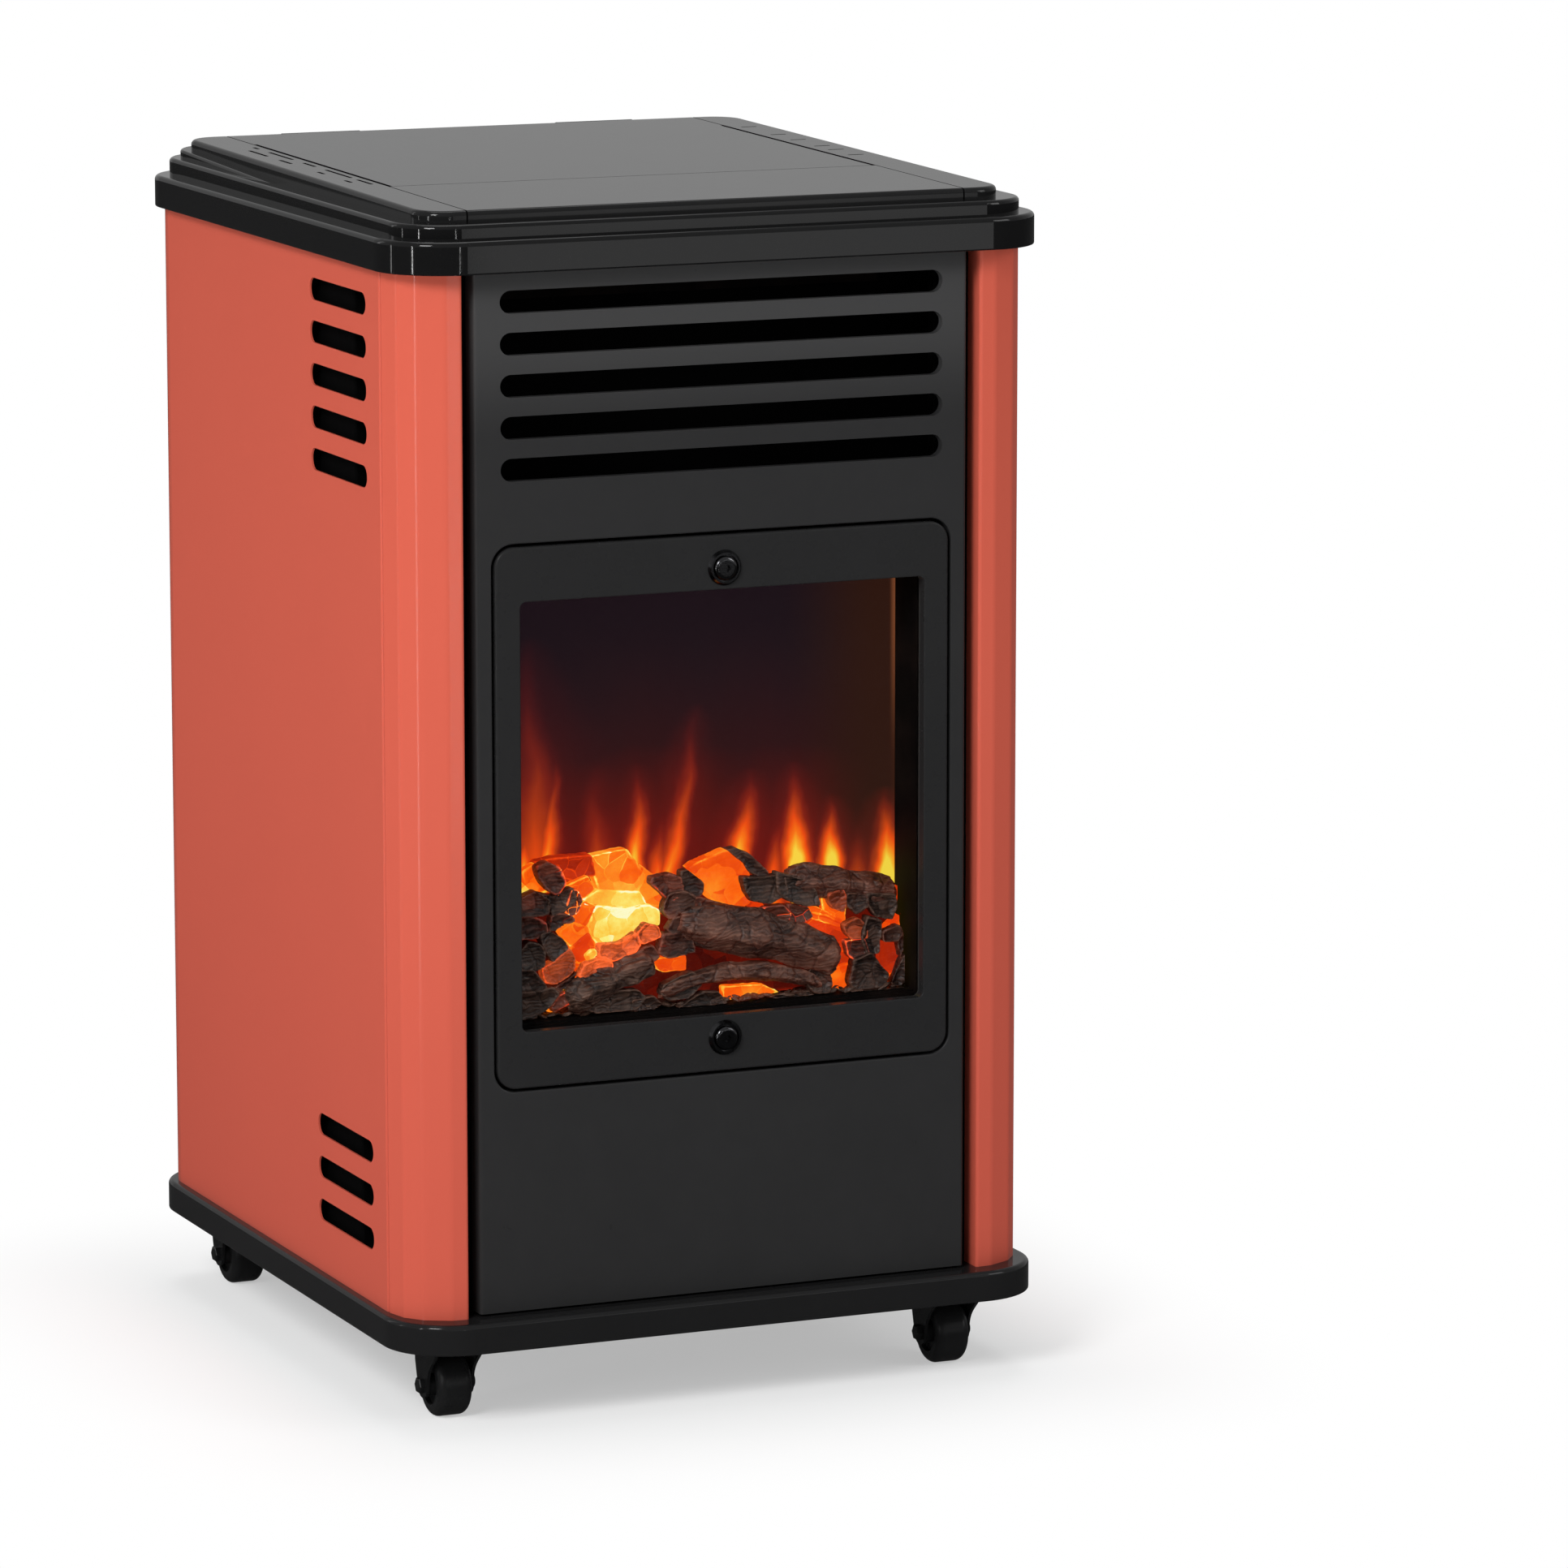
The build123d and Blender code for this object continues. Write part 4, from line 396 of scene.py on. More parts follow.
def flameLight(say):
    fire = Finish("flameLight")
    sway = fire.noise(say["swayScale"], 3.0, 0.55, fire.stretched(1.0, 1.0, 0.55))
    x = fire.x + (sway - 0.5) * say["sway"]
    heat, halo = None, None
    for across, foot, tip, half, lean, strength in say["flames"]:
        up = ((fire.z - foot) / (tip - foot)).clamped()
        side = (x - across - up * lean).size()
        width = (1.0 - up) ** 0.55 * up.smooth(0.0, 0.3, 0.8, 1.0) * (half * say["widen"]) + 0.001
        body = (1.0 - (side / width).clamped()).smooth(0.0, 1.15)
        one = body * (1.0 - up) ** 1.35 * (strength * say["bright"])
        glow = (1.0 - (side / (width * say["haloWidth"])).clamped()).smooth(0.0, 1.0)
        around = glow * (1.0 - up) ** 0.5 * strength
        heat = one if heat is None else heat.atLeast(one)
        halo = around if halo is None else halo.atLeast(around)
    wisps = fire.noise(say["swayScale"], 3.0, 0.6, fire.stretched(1.0, 1.0, 0.20))
    heat = (heat * (0.70 + wisps * 0.56) + halo * say["halo"]).clamped()
    flames = fire.ramp(heat, say["colours"])
    cloud = fire.noise(12.0, 3.0, 0.55, fire.stretched(1.0, 1.0, 0.5))
    high = (fire.z + (cloud - 0.5) * 0.05).smooth(*say["hazeZ"])
    haze = fire.ramp(high, say["haze"])
    haze = fire.mixed(fire.x.smooth(*say["rightX"]), haze, say["right"])
    edge = fire.x.smooth(*say["edgeX"]) * fire.z.smooth(*say["edgeZ"], 0.06, 1.0)
    haze = fire.mixed(edge, haze, say["edge"])
    light = fire.mixed(1.0, haze, flames, "ADD")
    return fire.surface(Base_Color=fire.mixed(wisps, *say["metal"]), Roughness=0.7, Specular_IOR_Level=0.0,
                        Emission_Color=light, Emission_Strength=1.0)

dress(["flame_screen"], flameLight(flameScreen))
print("flames lit")


# finishes of the charred ceramic, which glows where the fire is hot

hotPlaces = [
    # across, height, reach across, reach up
    (-0.0500, 0.3020, 0.046, 0.036),
    (-0.1170, 0.3200, 0.012, 0.012),
    (0.0040, 0.3160, 0.018, 0.014),
    (-0.0730, 0.2800, 0.012, 0.010),
    (0.0860, 0.2560, 0.014, 0.006),
    (0.0300, 0.2500, 0.020, 0.007),
]

fireColours = [
    (0.0, (0.0, 0.0, 0.0)), (0.15, (0.05, 0.0022, 0.001)), (0.30, (0.30, 0.012, 0.002)),
    (0.46, (0.78, 0.042, 0.002)), (0.60, (1.0, 0.125, 0.003)), (0.74, (1.0, 0.30, 0.016)),
    (0.86, (1.0, 0.62, 0.065)), (0.94, (1.0, 0.88, 0.20)), (1.0, (1.0, 0.98, 0.58)),
]

ceramics = {
    # the two ends of the surface colour are the char and the lighter one, which is ash and painted highlight;
    # scale is that of its cracked plates;
    # seam and body say how much those glow, and wash is the colour of the light that lies over the surface
    "charredLog": {"char": (0.0085, 0.0046, 0.0034), "ash": (0.150, 0.086, 0.060),
                   "scale": 62.0, "seam": 0.0, "body": 0.0, "wash": (0.40, 0.052, 0.018),
                   "specular": 0.30, "bump": 0.8},
    "charredCoal": {"char": (0.0080, 0.0042, 0.0031), "ash": (0.125, 0.064, 0.042),
                    "scale": 70.0, "seam": 0.75, "body": 0.0, "wash": (0.42, 0.050, 0.016),
                    "specular": 0.34, "bump": 0.55},
    "emberBlock": {"char": (0.010, 0.003, 0.002), "ash": (0.030, 0.009, 0.004),
                   "scale": 80.0, "seam": 0.16, "body": 1.0, "wash": (0.0, 0.0, 0.0),
                   "specular": 0.06, "bump": 0.35},
    "warmSlab": {"char": (0.050, 0.010, 0.005), "ash": (0.160, 0.045, 0.025),
                 "scale": 85.0, "seam": 0.35, "body": 0.0, "wash": (1.0, 0.135, 0.022),
                 "specular": 0.25, "bump": 0.8},
}

crust = {
    "wander": 46.0,          # scale of the waver that bends the cracks, and how far it shifts them
    "wanderX": 0.012,
    "wanderZ": 0.009,
    "smallPlates": 2.6,      # how much finer the second set of cracks is
    "dust": 120.0,
    "cloud": 40.0,
    "streak": {"Scale": 120.0, "Distortion": 7.0, "Detail": 3.0, "Detail Scale": 1.2},
    "light": 1.16,
    "relief": 0.0012,
}

def charred(name):
    say = ceramics[name]
    made = Finish(name)
    warmth = made.node("ShaderNodeAttribute", {"attribute_name": "warmth"}, {}, "Fac")
    curve = made.node("ShaderNodeNewGeometry", {}, {}, "Pointiness")
    spot = None
    for place in hotPlaces:
        one = made.near(*place).smooth(0.0, 1.0)
        spot = one if spot is None else spot.atLeast(one)
    wander = made.noise(crust["wander"], 3.0)
    warped = made.shifted((wander - 0.5) * crust["wanderX"], 0.0, (wander - 0.5) * crust["wanderZ"])
    crack = made.cells(say["scale"], "DISTANCE_TO_EDGE", "Distance", warped)
    small = made.cells(say["scale"] * crust["smallPlates"], "DISTANCE_TO_EDGE", "Distance", warped)
    tone = made.cellTone(say["scale"], warped)
    streak = made.node("ShaderNodeTexWave", {"wave_type": "BANDS", "bands_direction": "Z"},
                       {"Vector": warped, **crust["streak"]}, "Fac")
    dust = made.noise(crust["dust"], 5.0, 0.7)
    cloud = made.noise(crust["cloud"], 2.0)
    edge = curve.smooth(0.505, 0.560)
    # ash lies in patches and streaks; darker in the cracks and hollows is painted shade, and paler along the
    # edges is painted highlight
    ash = dust.smooth(0.36, 0.70) * 0.30 + streak.smooth(0.55, 0.98) * 0.26
    ash = ash + tone * 0.30 + cloud.smooth(0.4, 0.7) * 0.25 - 0.12
    # painted shade: less of the pale colour in the cracks and hollows
    ash = ash * crack.smooth(0.003, 0.06, 0.35, 1.0) * curve.smooth(0.44, 0.50, 0.15, 1.0)
    # painted highlight along the edges
    ash = (ash + edge * 0.42).clamped()
    colour = made.mixed(ash, say["char"], say["ash"])
    # the body glows by the piece's own warmth, and the seams and edges where it is warm enough
    rim = edge * cloud.smooth(0.38, 0.60)
    patches = 0.56 + tone * 0.26 + dust * 0.30 + cloud * 0.26
    lit = (warmth * patches + spot * 0.11 + rim * 0.10) * say["body"]
    seam = (1.0 - crack.smooth(0.002, 0.030)) * cloud.smooth(0.46, 0.66) * warmth.smooth(0.08, 0.45)
    heat = lit + (seam + rim * warmth.smooth(0.15, 0.5) * 0.9) * say["seam"]
    light = made.ramp(heat.clamped(), fireColours)
    # painted light: the glow of the nearby fire laid over the surface as emission, stronger on the edges and
    # the paler parts
    glow = (warmth * warmth + spot * 0.16) * (0.6 + cloud * 0.8)
    wash = (glow * (tone * 0.45 + dust * 0.30 + ash * 1.10) + edge * glow * 0.25).clamped()
    light = made.mixed(1.0, light, made.mixed(wash, (0.0, 0.0, 0.0), say["wash"]), "ADD")
    height = crack.smooth(0.0, 0.10) * 0.7 + small.smooth(0.0, 0.2) * 0.22 + streak * 0.28 + dust * 0.22
    return made.surface(Base_Color=colour, Roughness=0.34 + dust * 0.30, Specular_IOR_Level=say["specular"],
                        Emission_Color=light, Emission_Strength=crust["light"],
                        Normal=made.bump(height, say["bump"], crust["relief"]))

ceramic = {name: charred(name) for name in ceramics}
print("fire finishes made")


# making pieces

def onlySelect(thing):
    bpy.ops.object.select_all(action="DESELECT")
    thing.select_set(True)
    bpy.context.view_layer.objects.active = thing

def applyAll(thing):
    onlySelect(thing)
    for modifier in list(thing.modifiers):
        bpy.ops.object.modifier_apply(modifier=modifier.name)

def settle(thing, angle=40.0):
    onlySelect(thing)
    bpy.ops.object.transform_apply(location=True, rotation=True, scale=True)
    bpy.ops.object.shade_smooth_by_angle(angle=math.radians(angle))

def roughen(thing, kind, size, strength, middle=0.5, metric="DISTANCE"):
    texture = bpy.data.textures.new(thing.name + kind, kind)
    texture.noise_scale = size
    if kind == "VORONOI":   # plates with grooves between them
        texture.distance_metric = metric
        texture.weight_1 = -1.0
        texture.weight_2 = 1.0
    modifier = thing.modifiers.new(kind, "DISPLACE")
    modifier.texture = texture
    modifier.texture_coords = "LOCAL"
    modifier.strength = strength
    modifier.mid_level = middle

def setWarmth(thing, warmth):
    layer = thing.data.attributes.new("warmth", "FLOAT", "POINT")
    layer.data.foreach_set("value", [warmth] * len(thing.data.vertices))

def joined(parts, name, material):
    bpy.ops.object.select_all(action="DESELECT")
    for part in parts:
        part.select_set(True)
    bpy.context.view_layer.objects.active = parts[0]
    if len(parts) > 1:
        bpy.ops.object.join()
    piece = parts[0]
    piece.name = piece.data.name = name
    piece.data.materials.clear()
    piece.data.materials.append(material)
    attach(piece, "cabinet")
    return piece


# charred logs

logPieces = {
    # warmth, then for each stick: its two ends (x, y, z), radius, share of it left at the ends, arch
    "log_centre": [0.26, ((0.086, -0.1955, 0.268), (-0.020, -0.1945, 0.300), 0.0145, 0.80, 0.004),
                   ((0.074, -0.1975, 0.254), (-0.034, -0.1975, 0.2560), 0.0058, 0.92, 0.0110)],
    "log_right_rear": [0.30, ((0.056, -0.1850, 0.3185), (0.129, -0.1850, 0.3030), 0.0108, 0.82, 0.0015)],
    "log_left_front": [0.12, ((-0.096, -0.1985, 0.256), (-0.038, -0.1975, 0.277), 0.0098, 0.80, 0.001)],
}

bark = {
    "around": 56,            # faces round a stick
    "step": 0.0013,          # length of a face
    "stretch": 1.9,          # how much longer than wide the plates of bark are
    "plate": 0.0085,
    "depth": 0.0034,
    "level": 0.22,           # the tone of the pattern that moves nothing
    "grit": 0.0042,
    "gritDepth": 0.0012,
    "roundFrom": 0.90,       # the share of the half length beyond which an end is rounded off
    "round": 0.33,           # the share of its thickness that it loses there
    "sway": 0.09,            # waves in the thickness, long ones and short ones
    "ripple": 0.05,
    "faces": 5,              # split faces of a sawn log
    "faceDepth": 0.07,
    "shift": (0.37, 0.21),   # per step of the seed, so that each stick meets another part of the pattern
}

def shapeStick(stick, half, ends, seed):
    say = bark
    for vertex in stick.data.vertices:
        along = vertex.co.z / half
        around = math.atan2(vertex.co.y, vertex.co.x)
        taper = 1.0 - (1.0 - ends) * along ** 4
        taper *= 1.0 - say["round"] * max(0.0, abs(along) - say["roundFrom"]) / (1.0 - say["roundFrom"])
        sway = say["sway"] * math.sin(along * 4.0 + seed)
        ripple = say["ripple"] * math.sin(along * 11.0 + seed * 2)
        facets = 1.0 + say["faceDepth"] * math.cos(say["faces"] * around + along * 1.5 + seed)
        grow = taper * (1.0 + sway + ripple) * facets
        vertex.co.x *= grow
        vertex.co.y *= grow

def makeStick(name, start, finish, radius, ends, arch, seed):
    say = bark
    foot = Vector(start)
    head = Vector(finish)
    run = head - foot
    squeezed = run.length / say["stretch"]   # carved short and stretched last, so that the bark runs along it
    bpy.ops.object.select_all(action="DESELECT")
    bpy.ops.mesh.primitive_cylinder_add(vertices=say["around"], radius=radius, depth=squeezed,
                                        end_fill_type="TRIFAN")
    stick = bpy.context.object
    stick.name = name
    bpy.ops.object.mode_set(mode="EDIT")
    bpy.ops.mesh.select_mode(type="EDGE")
    bpy.ops.mesh.select_all(action="DESELECT")
    bpy.ops.object.mode_set(mode="OBJECT")
    for edge in stick.data.edges:   # the edges that run along the stick
        low, high = [stick.data.vertices[i].co.z for i in edge.vertices]
        edge.select = abs(high - low) > squeezed / 2
    bpy.ops.object.mode_set(mode="EDIT")
    bpy.ops.mesh.subdivide(number_cuts=int(run.length / say["step"]))
    bpy.ops.object.mode_set(mode="OBJECT")
    shapeStick(stick, squeezed / 2, ends, seed)
    shift = Vector((seed * say["shift"][0], seed * say["shift"][1], 0.0))
    stick.location = shift
    bpy.ops.object.transform_apply(location=True, rotation=False, scale=False)
    roughen(stick, "VORONOI", say["plate"], say["depth"], say["level"], "CHEBYCHEV")
    roughen(stick, "CLOUDS", say["grit"], say["gritDepth"])
    applyAll(stick)
    stick.location = -shift
    bpy.ops.object.transform_apply(location=True, rotation=False, scale=False)
    stick.scale = (1.0, 1.0, say["stretch"])
    stick.rotation_mode = "QUATERNION"
    stick.rotation_quaternion = run.to_track_quat("Z", "Y")
    stick.location = foot + run / 2
    onlySelect(stick)
    bpy.ops.object.transform_apply(location=True, rotation=True, scale=True)
    for vertex in stick.data.vertices:   # the middle rises by the arch
        along = (vertex.co - foot).dot(run) / run.length_squared * 2 - 1
        vertex.co.z += arch * max(0.0, 1.0 - along * along)
    settle(stick, 38.0)
    return stick

for node, (warmth, *sticks) in logPieces.items():
    parts = []
    for i, stick in enumerate(sticks):
        part = makeStick(node + str(i), *stick, seed=3 + 2 * i + len(node))
        setWarmth(part, warmth)
        parts.append(part)
    log = joined(parts, node.replace("log_", "charredLog_"), ceramic["charredLog"])
    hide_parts(node)
print("logs carved")


# chunks of broken ceramic, each from its own outline

chunkWork = {
    "taper": 0.20,           # how far the front face draws in all round, in widths of the chunk
    "swell": 0.45,           # how far it comes forward, in half thicknesses
    "lean": 0.10,            # how far it leans, in widths
    "deep": 1.5,             # thickness behind the swell, in half thicknesses
    "edge": 0.0010,
    "voxel": 0.0010,
    "plate": 0.0065,
    "groove": 0.0011,
    "grooveLevel": 0.20,     # the tone of the pattern that moves nothing
    "grit": 0.0045,
    "gritDepth": 0.0005,
    "longFrom": 0.1,         # a chunk longer than this, as the one behind the coals is, is made coarser
    "coarser": 2.2,
}

chunks = {
    # depth and half thickness in metres, warmth, then the outline (across, up) in millimetres
    "emberBlocks": [
        (-0.1850, 0.0075, 0.34, [(-111, 342), (-98, 344), (-73, 344), (-70, 330), (-77, 330),
            (-93, 324), (-104, 324), (-111, 333)]),
        (-0.1890, 0.0060, 0.50, [(-94, 326), (-77, 332), (-72, 323), (-80, 317), (-91, 321)]),
        (-0.1845, 0.0075, 0.66, [(-74, 343), (-50, 346), (-42, 335), (-37, 327), (-43, 317), (-68, 319),
            (-72, 330)]),
        (-0.1845, 0.0070, 0.62, [(-42, 336), (-33, 329), (-25, 325), (-25, 312), (-28, 307), (-38, 310),
            (-43, 320)]),
        (-0.1870, 0.0060, 0.75, [(-70, 322), (-42, 319), (-36, 308), (-51, 306), (-79, 313), (-80, 317)]),
        (-0.1880, 0.0070, 0.83, [(-78, 300), (-72, 313), (-51, 309), (-37, 311), (-30, 307), (-29, 297),
            (-43, 294), (-57, 287), (-69, 286), (-75, 293)]),
        (-0.1880, 0.0060, 0.58, [(-87, 308), (-80, 317), (-70, 312), (-77, 301), (-84, 296), (-87, 301)]),
        (-0.1890, 0.0060, 0.72, [(-89, 288), (-97, 298), (-87, 304), (-77, 300), (-76, 296), (-82, 291)]),
        (-0.1900, 0.0060, 0.50, [(-90, 288), (-77, 297), (-72, 288), (-74, 280), (-84, 277), (-88, 282)]),
        (-0.1960, 0.0035, 0.78, [(-82, 283), (-78, 287), (-74, 287), (-73, 283), (-79, 278)]),
        (-0.1870, 0.0060, 0.62, [(-120, 337), (-111, 342), (-103, 333), (-103, 324), (-113, 323),
            (-118, 328)]),
        (-0.1880, 0.0055, 0.80, [(-124, 335), (-118, 329), (-112, 323), (-117, 317), (-124, 320)]),
        (-0.1930, 0.0060, 0.60, [(-108, 251), (-98, 262), (-90, 268), (-82, 274), (-81, 267),
            (-88, 258), (-103, 249)]),
        (-0.1870, 0.0075, 0.58, [(-11, 331), (-6, 334), (3, 337), (14, 341), (21, 338), (28, 331),
            (31, 323), (31, 306), (24, 302), (6, 309), (-1, 315), (-1, 322)]),
        (-0.1880, 0.0050, 0.44, [(28, 307), (39, 306), (44, 298), (55, 293), (35, 295)]),
        (-0.1900, 0.0060, 0.60, [(11, 256), (38, 255), (50, 249), (38, 247), (12, 247)]),
        (-0.1890, 0.0060, 0.44, [(56, 290), (67, 299), (82, 295), (92, 289), (96, 281), (99, 268),
            (84, 274), (71, 281)]),
        (-0.1880, 0.0060, 0.42, [(82, 276), (101, 268), (96, 259), (84, 260), (80, 269)]),
        (-0.1900, 0.0060, 0.54, [(83, 261), (101, 265), (105, 256), (98, 247), (92, 247), (83, 248)]),
        (-0.1870, 0.0060, 0.56, [(78, 308), (84, 309), (95, 311), (96, 290), (93, 288), (80, 293)]),
        (-0.1890, 0.0060, 0.52, [(117, 281), (129, 291), (131, 292), (131, 278), (129, 275), (119, 276)]),
        (-0.1900, 0.0060, 0.34, [(117, 277), (131, 277), (131, 259), (124, 254), (117, 261)]),
        (-0.1900, 0.0060, 0.48, [(119, 248), (124, 256), (130, 258), (130, 247), (125, 247)]),
        (-0.1850, 0.0060, 0.40, [(130, 307), (131, 310), (131, 297)]),
        (-0.1900, 0.0060, 0.50, [(-36, 277), (-13, 278), (-12, 268), (-27, 267), (-33, 270)]),
        (-0.1830, 0.0045, 0.17, [(-122, 318), (-99, 322), (-76, 317), (-45, 304), (-20, 302), (-6, 309),
            (34, 303), (57, 303), (96, 308), (131, 299), (131, 247), (59, 247), (-31, 247), (-122, 247)]),
        (-0.1880, 0.0060, 0.56, [(-91, 275), (-80, 281), (-76, 274), (-82, 264), (-89, 267)]),
        (-0.1890, 0.0050, 0.50, [(58, 304), (71, 303), (93, 291), (91, 286), (71, 293)]),
    ],
    "warmSlabs": [
        (-0.1975, 0.0065, 0.55, [(-111, 279), (-104, 282), (-93, 290), (-89, 284), (-89, 276),
            (-93, 272), (-102, 267), (-109, 269), (-111, 275)]),
        (-0.1990, 0.0060, 0.80, [(-84, 279), (-74, 282), (-65, 279), (-64, 275), (-74, 267), (-83, 266),
            (-88, 272)]),
        (-0.1970, 0.0065, 0.90, [(-74, 282), (-73, 290), (-59, 290), (-48, 296), (-45, 288), (-48, 283),
            (-64, 278)]),
        (-0.1960, 0.0060, 0.80, [(-48, 295), (-42, 301), (-33, 298), (-31, 291), (-44, 287), (-47, 290)]),
        (-0.1995, 0.0055, 0.50, [(-87, 270), (-76, 276), (-73, 267), (-79, 260), (-85, 261), (-88, 267)]),
        (-0.1930, 0.0060, 0.42, [(81, 309), (91, 312), (95, 304), (92, 296), (84, 299), (81, 304)]),
        (-0.1940, 0.0060, 0.44, [(90, 289), (101, 293), (107, 287), (108, 279), (98, 277), (92, 283)]),
    ],
    "charredCoals": [
        (-0.1950, 0.0070, 0.42, [(-114, 341), (-106, 344), (-97, 339), (-93, 329), (-99, 321),
            (-107, 326), (-112, 333)]),
        (-0.1975, 0.0070, 0.12, [(-125, 323), (-115, 327), (-105, 320), (-106, 311), (-116, 310),
            (-128, 311), (-128, 320)]),
        (-0.1960, 0.0075, 0.10, [(-115, 326), (-103, 322), (-90, 327), (-87, 318), (-95, 312),
            (-104, 309), (-106, 318)]),
        (-0.1965, 0.0065, 0.45, [(-91, 326), (-87, 325), (-83, 319), (-84, 316), (-86, 311), (-91, 308),
            (-96, 312), (-93, 320)]),
        (-0.1970, 0.0070, 0.28, [(-128, 312), (-115, 311), (-107, 306), (-106, 300), (-115, 296),
            (-128, 297)]),
        (-0.1980, 0.0065, 0.22, [(-107, 300), (-105, 310), (-99, 312), (-90, 309), (-90, 305),
            (-97, 304), (-102, 301)]),
        (-0.1980, 0.0070, 0.06, [(-128, 288), (-120, 296), (-112, 294), (-108, 288), (-109, 279),
            (-116, 276), (-128, 279)]),
        (-0.1970, 0.0070, 0.08, [(-112, 300), (-105, 301), (-96, 295), (-93, 290), (-99, 283),
            (-104, 281), (-109, 288), (-112, 295)]),
        (-0.1985, 0.0070, 0.08, [(-129, 280), (-116, 278), (-110, 270), (-107, 266), (-116, 263),
            (-129, 264)]),
        (-0.1985, 0.0070, 0.05, [(-129, 265), (-116, 265), (-104, 267), (-99, 262), (-107, 253),
            (-116, 248), (-129, 248)]),
        (-0.1960, 0.0060, 0.20, [(-103, 266), (-94, 270), (-87, 275), (-89, 268), (-99, 261)]),
        (-0.1990, 0.0055, 0.40, [(-100, 261), (-85, 267), (-83, 261), (-93, 255), (-104, 250),
            (-106, 254)]),
        (-0.1960, 0.0065, 0.22, [(-64, 279), (-48, 285), (-37, 287), (-32, 279), (-42, 272), (-59, 272)]),
        (-0.2000, 0.0060, 0.05, [(-84, 258), (-69, 262), (-49, 261), (-43, 255), (-49, 248), (-74, 247),
            (-84, 250)]),
        (-0.1990, 0.0060, 0.12, [(-53, 254), (-38, 256), (-32, 250), (-37, 247), (-52, 247)]),
        (-0.1930, 0.0065, 0.42, [(-37, 328), (-25, 330), (-17, 327), (-15, 317), (-25, 311), (-31, 318),
            (-38, 324)]),
        (-0.1900, 0.0060, 0.14, [(-17, 330), (-12, 331), (-1, 322), (-1, 315), (-7, 310), (-16, 316)]),
        (-0.1950, 0.0070, 0.16, [(-30, 311), (-26, 318), (-15, 319), (-5, 313), (-4, 303), (-11, 299),
            (-19, 304), (-26, 301), (-30, 306)]),
        (-0.1975, 0.0060, 0.12, [(-29, 296), (-23, 304), (-12, 303), (-6, 298), (-8, 293), (-27, 293)]),
        (-0.1970, 0.0070, 0.22, [(-32, 294), (-12, 293), (-9, 280), (-27, 277), (-35, 281), (-33, 288)]),
        (-0.1890, 0.0065, 0.20, [(14, 341), (20, 342), (29, 338), (38, 330), (44, 323), (38, 320),
            (29, 326), (25, 332)]),
        (-0.1930, 0.0070, 0.06, [(23, 324), (36, 323), (52, 324), (55, 311), (42, 305), (29, 308),
            (25, 315)]),
        (-0.1940, 0.0065, 0.04, [(45, 326), (55, 323), (64, 320), (73, 312), (76, 302), (65, 302),
            (54, 306), (46, 312)]),
        (-0.1960, 0.0050, 0.30, [(-9, 315), (3, 311), (27, 303), (31, 297), (27, 294), (10, 300),
            (-1, 302), (-9, 308)]),
        (-0.1930, 0.0055, 0.36, [(37, 304), (51, 305), (57, 298), (53, 291), (42, 291), (36, 296)]),
        (-0.1920, 0.0055, 0.30, [(54, 305), (68, 302), (72, 295), (63, 290), (54, 294)]),
        (-0.1940, 0.0065, 0.14, [(93, 309), (107, 307), (109, 299), (100, 294), (93, 300)]),
        (-0.1940, 0.0065, 0.06, [(106, 308), (126, 306), (128, 298), (124, 289), (112, 292), (106, 301)]),
        (-0.1950, 0.0065, 0.10, [(106, 294), (117, 290), (116, 278), (115, 269), (106, 268), (102, 279)]),
        (-0.1960, 0.0060, 0.20, [(116, 283), (128, 287), (131, 281), (127, 275), (117, 276)]),
        (-0.1950, 0.0060, 0.50, [(91, 279), (105, 280), (109, 268), (99, 265), (93, 269)]),
        (-0.1970, 0.0070, 0.10, [(96, 267), (109, 271), (115, 262), (121, 256), (119, 249), (111, 247),
            (96, 247), (93, 253)]),
        (-0.1960, 0.0065, 0.12, [(128, 262), (131, 269), (131, 249), (127, 247), (122, 249)]),
        (-0.1950, 0.0065, 0.22, [(128, 283), (131, 282), (131, 268), (129, 265), (127, 275)]),
        (-0.1990, 0.0050, 0.06, [(93, 249), (111, 247), (126, 247), (131, 247), (93, 247)]),
        (-0.1985, 0.0060, 0.34, [(66, 281), (74, 283), (79, 277), (79, 266), (70, 266), (65, 274)]),
        (-0.1985, 0.0065, 0.10, [(67, 266), (78, 266), (82, 255), (80, 247), (68, 248), (62, 256)]),
        (-0.1985, 0.0065, 0.06, [(-32, 262), (-20, 267), (-11, 269), (-5, 260), (-13, 252), (-28, 251),
            (-34, 256)]),
        (-0.2000, 0.0055, 0.10, [(-23, 247), (-6, 256), (5, 255), (11, 247), (-2, 247), (-21, 247)]),
        (-0.1985, 0.0050, 0.08, [(39, 249), (67, 249), (71, 247), (41, 247)]),
    ],
}

def pushFront(say, half, wide, seed):
    # the selected front face shrinks, comes forward and leans, so that the sides slope as broken faces do
    bpy.ops.mesh.inset(thickness=wide * say["taper"], depth=half * say["swell"])
    far = wide * say["lean"]
    bpy.ops.transform.translate(value=(far * math.sin(seed * 2.1), 0.0, far * math.cos(seed * 1.3)))

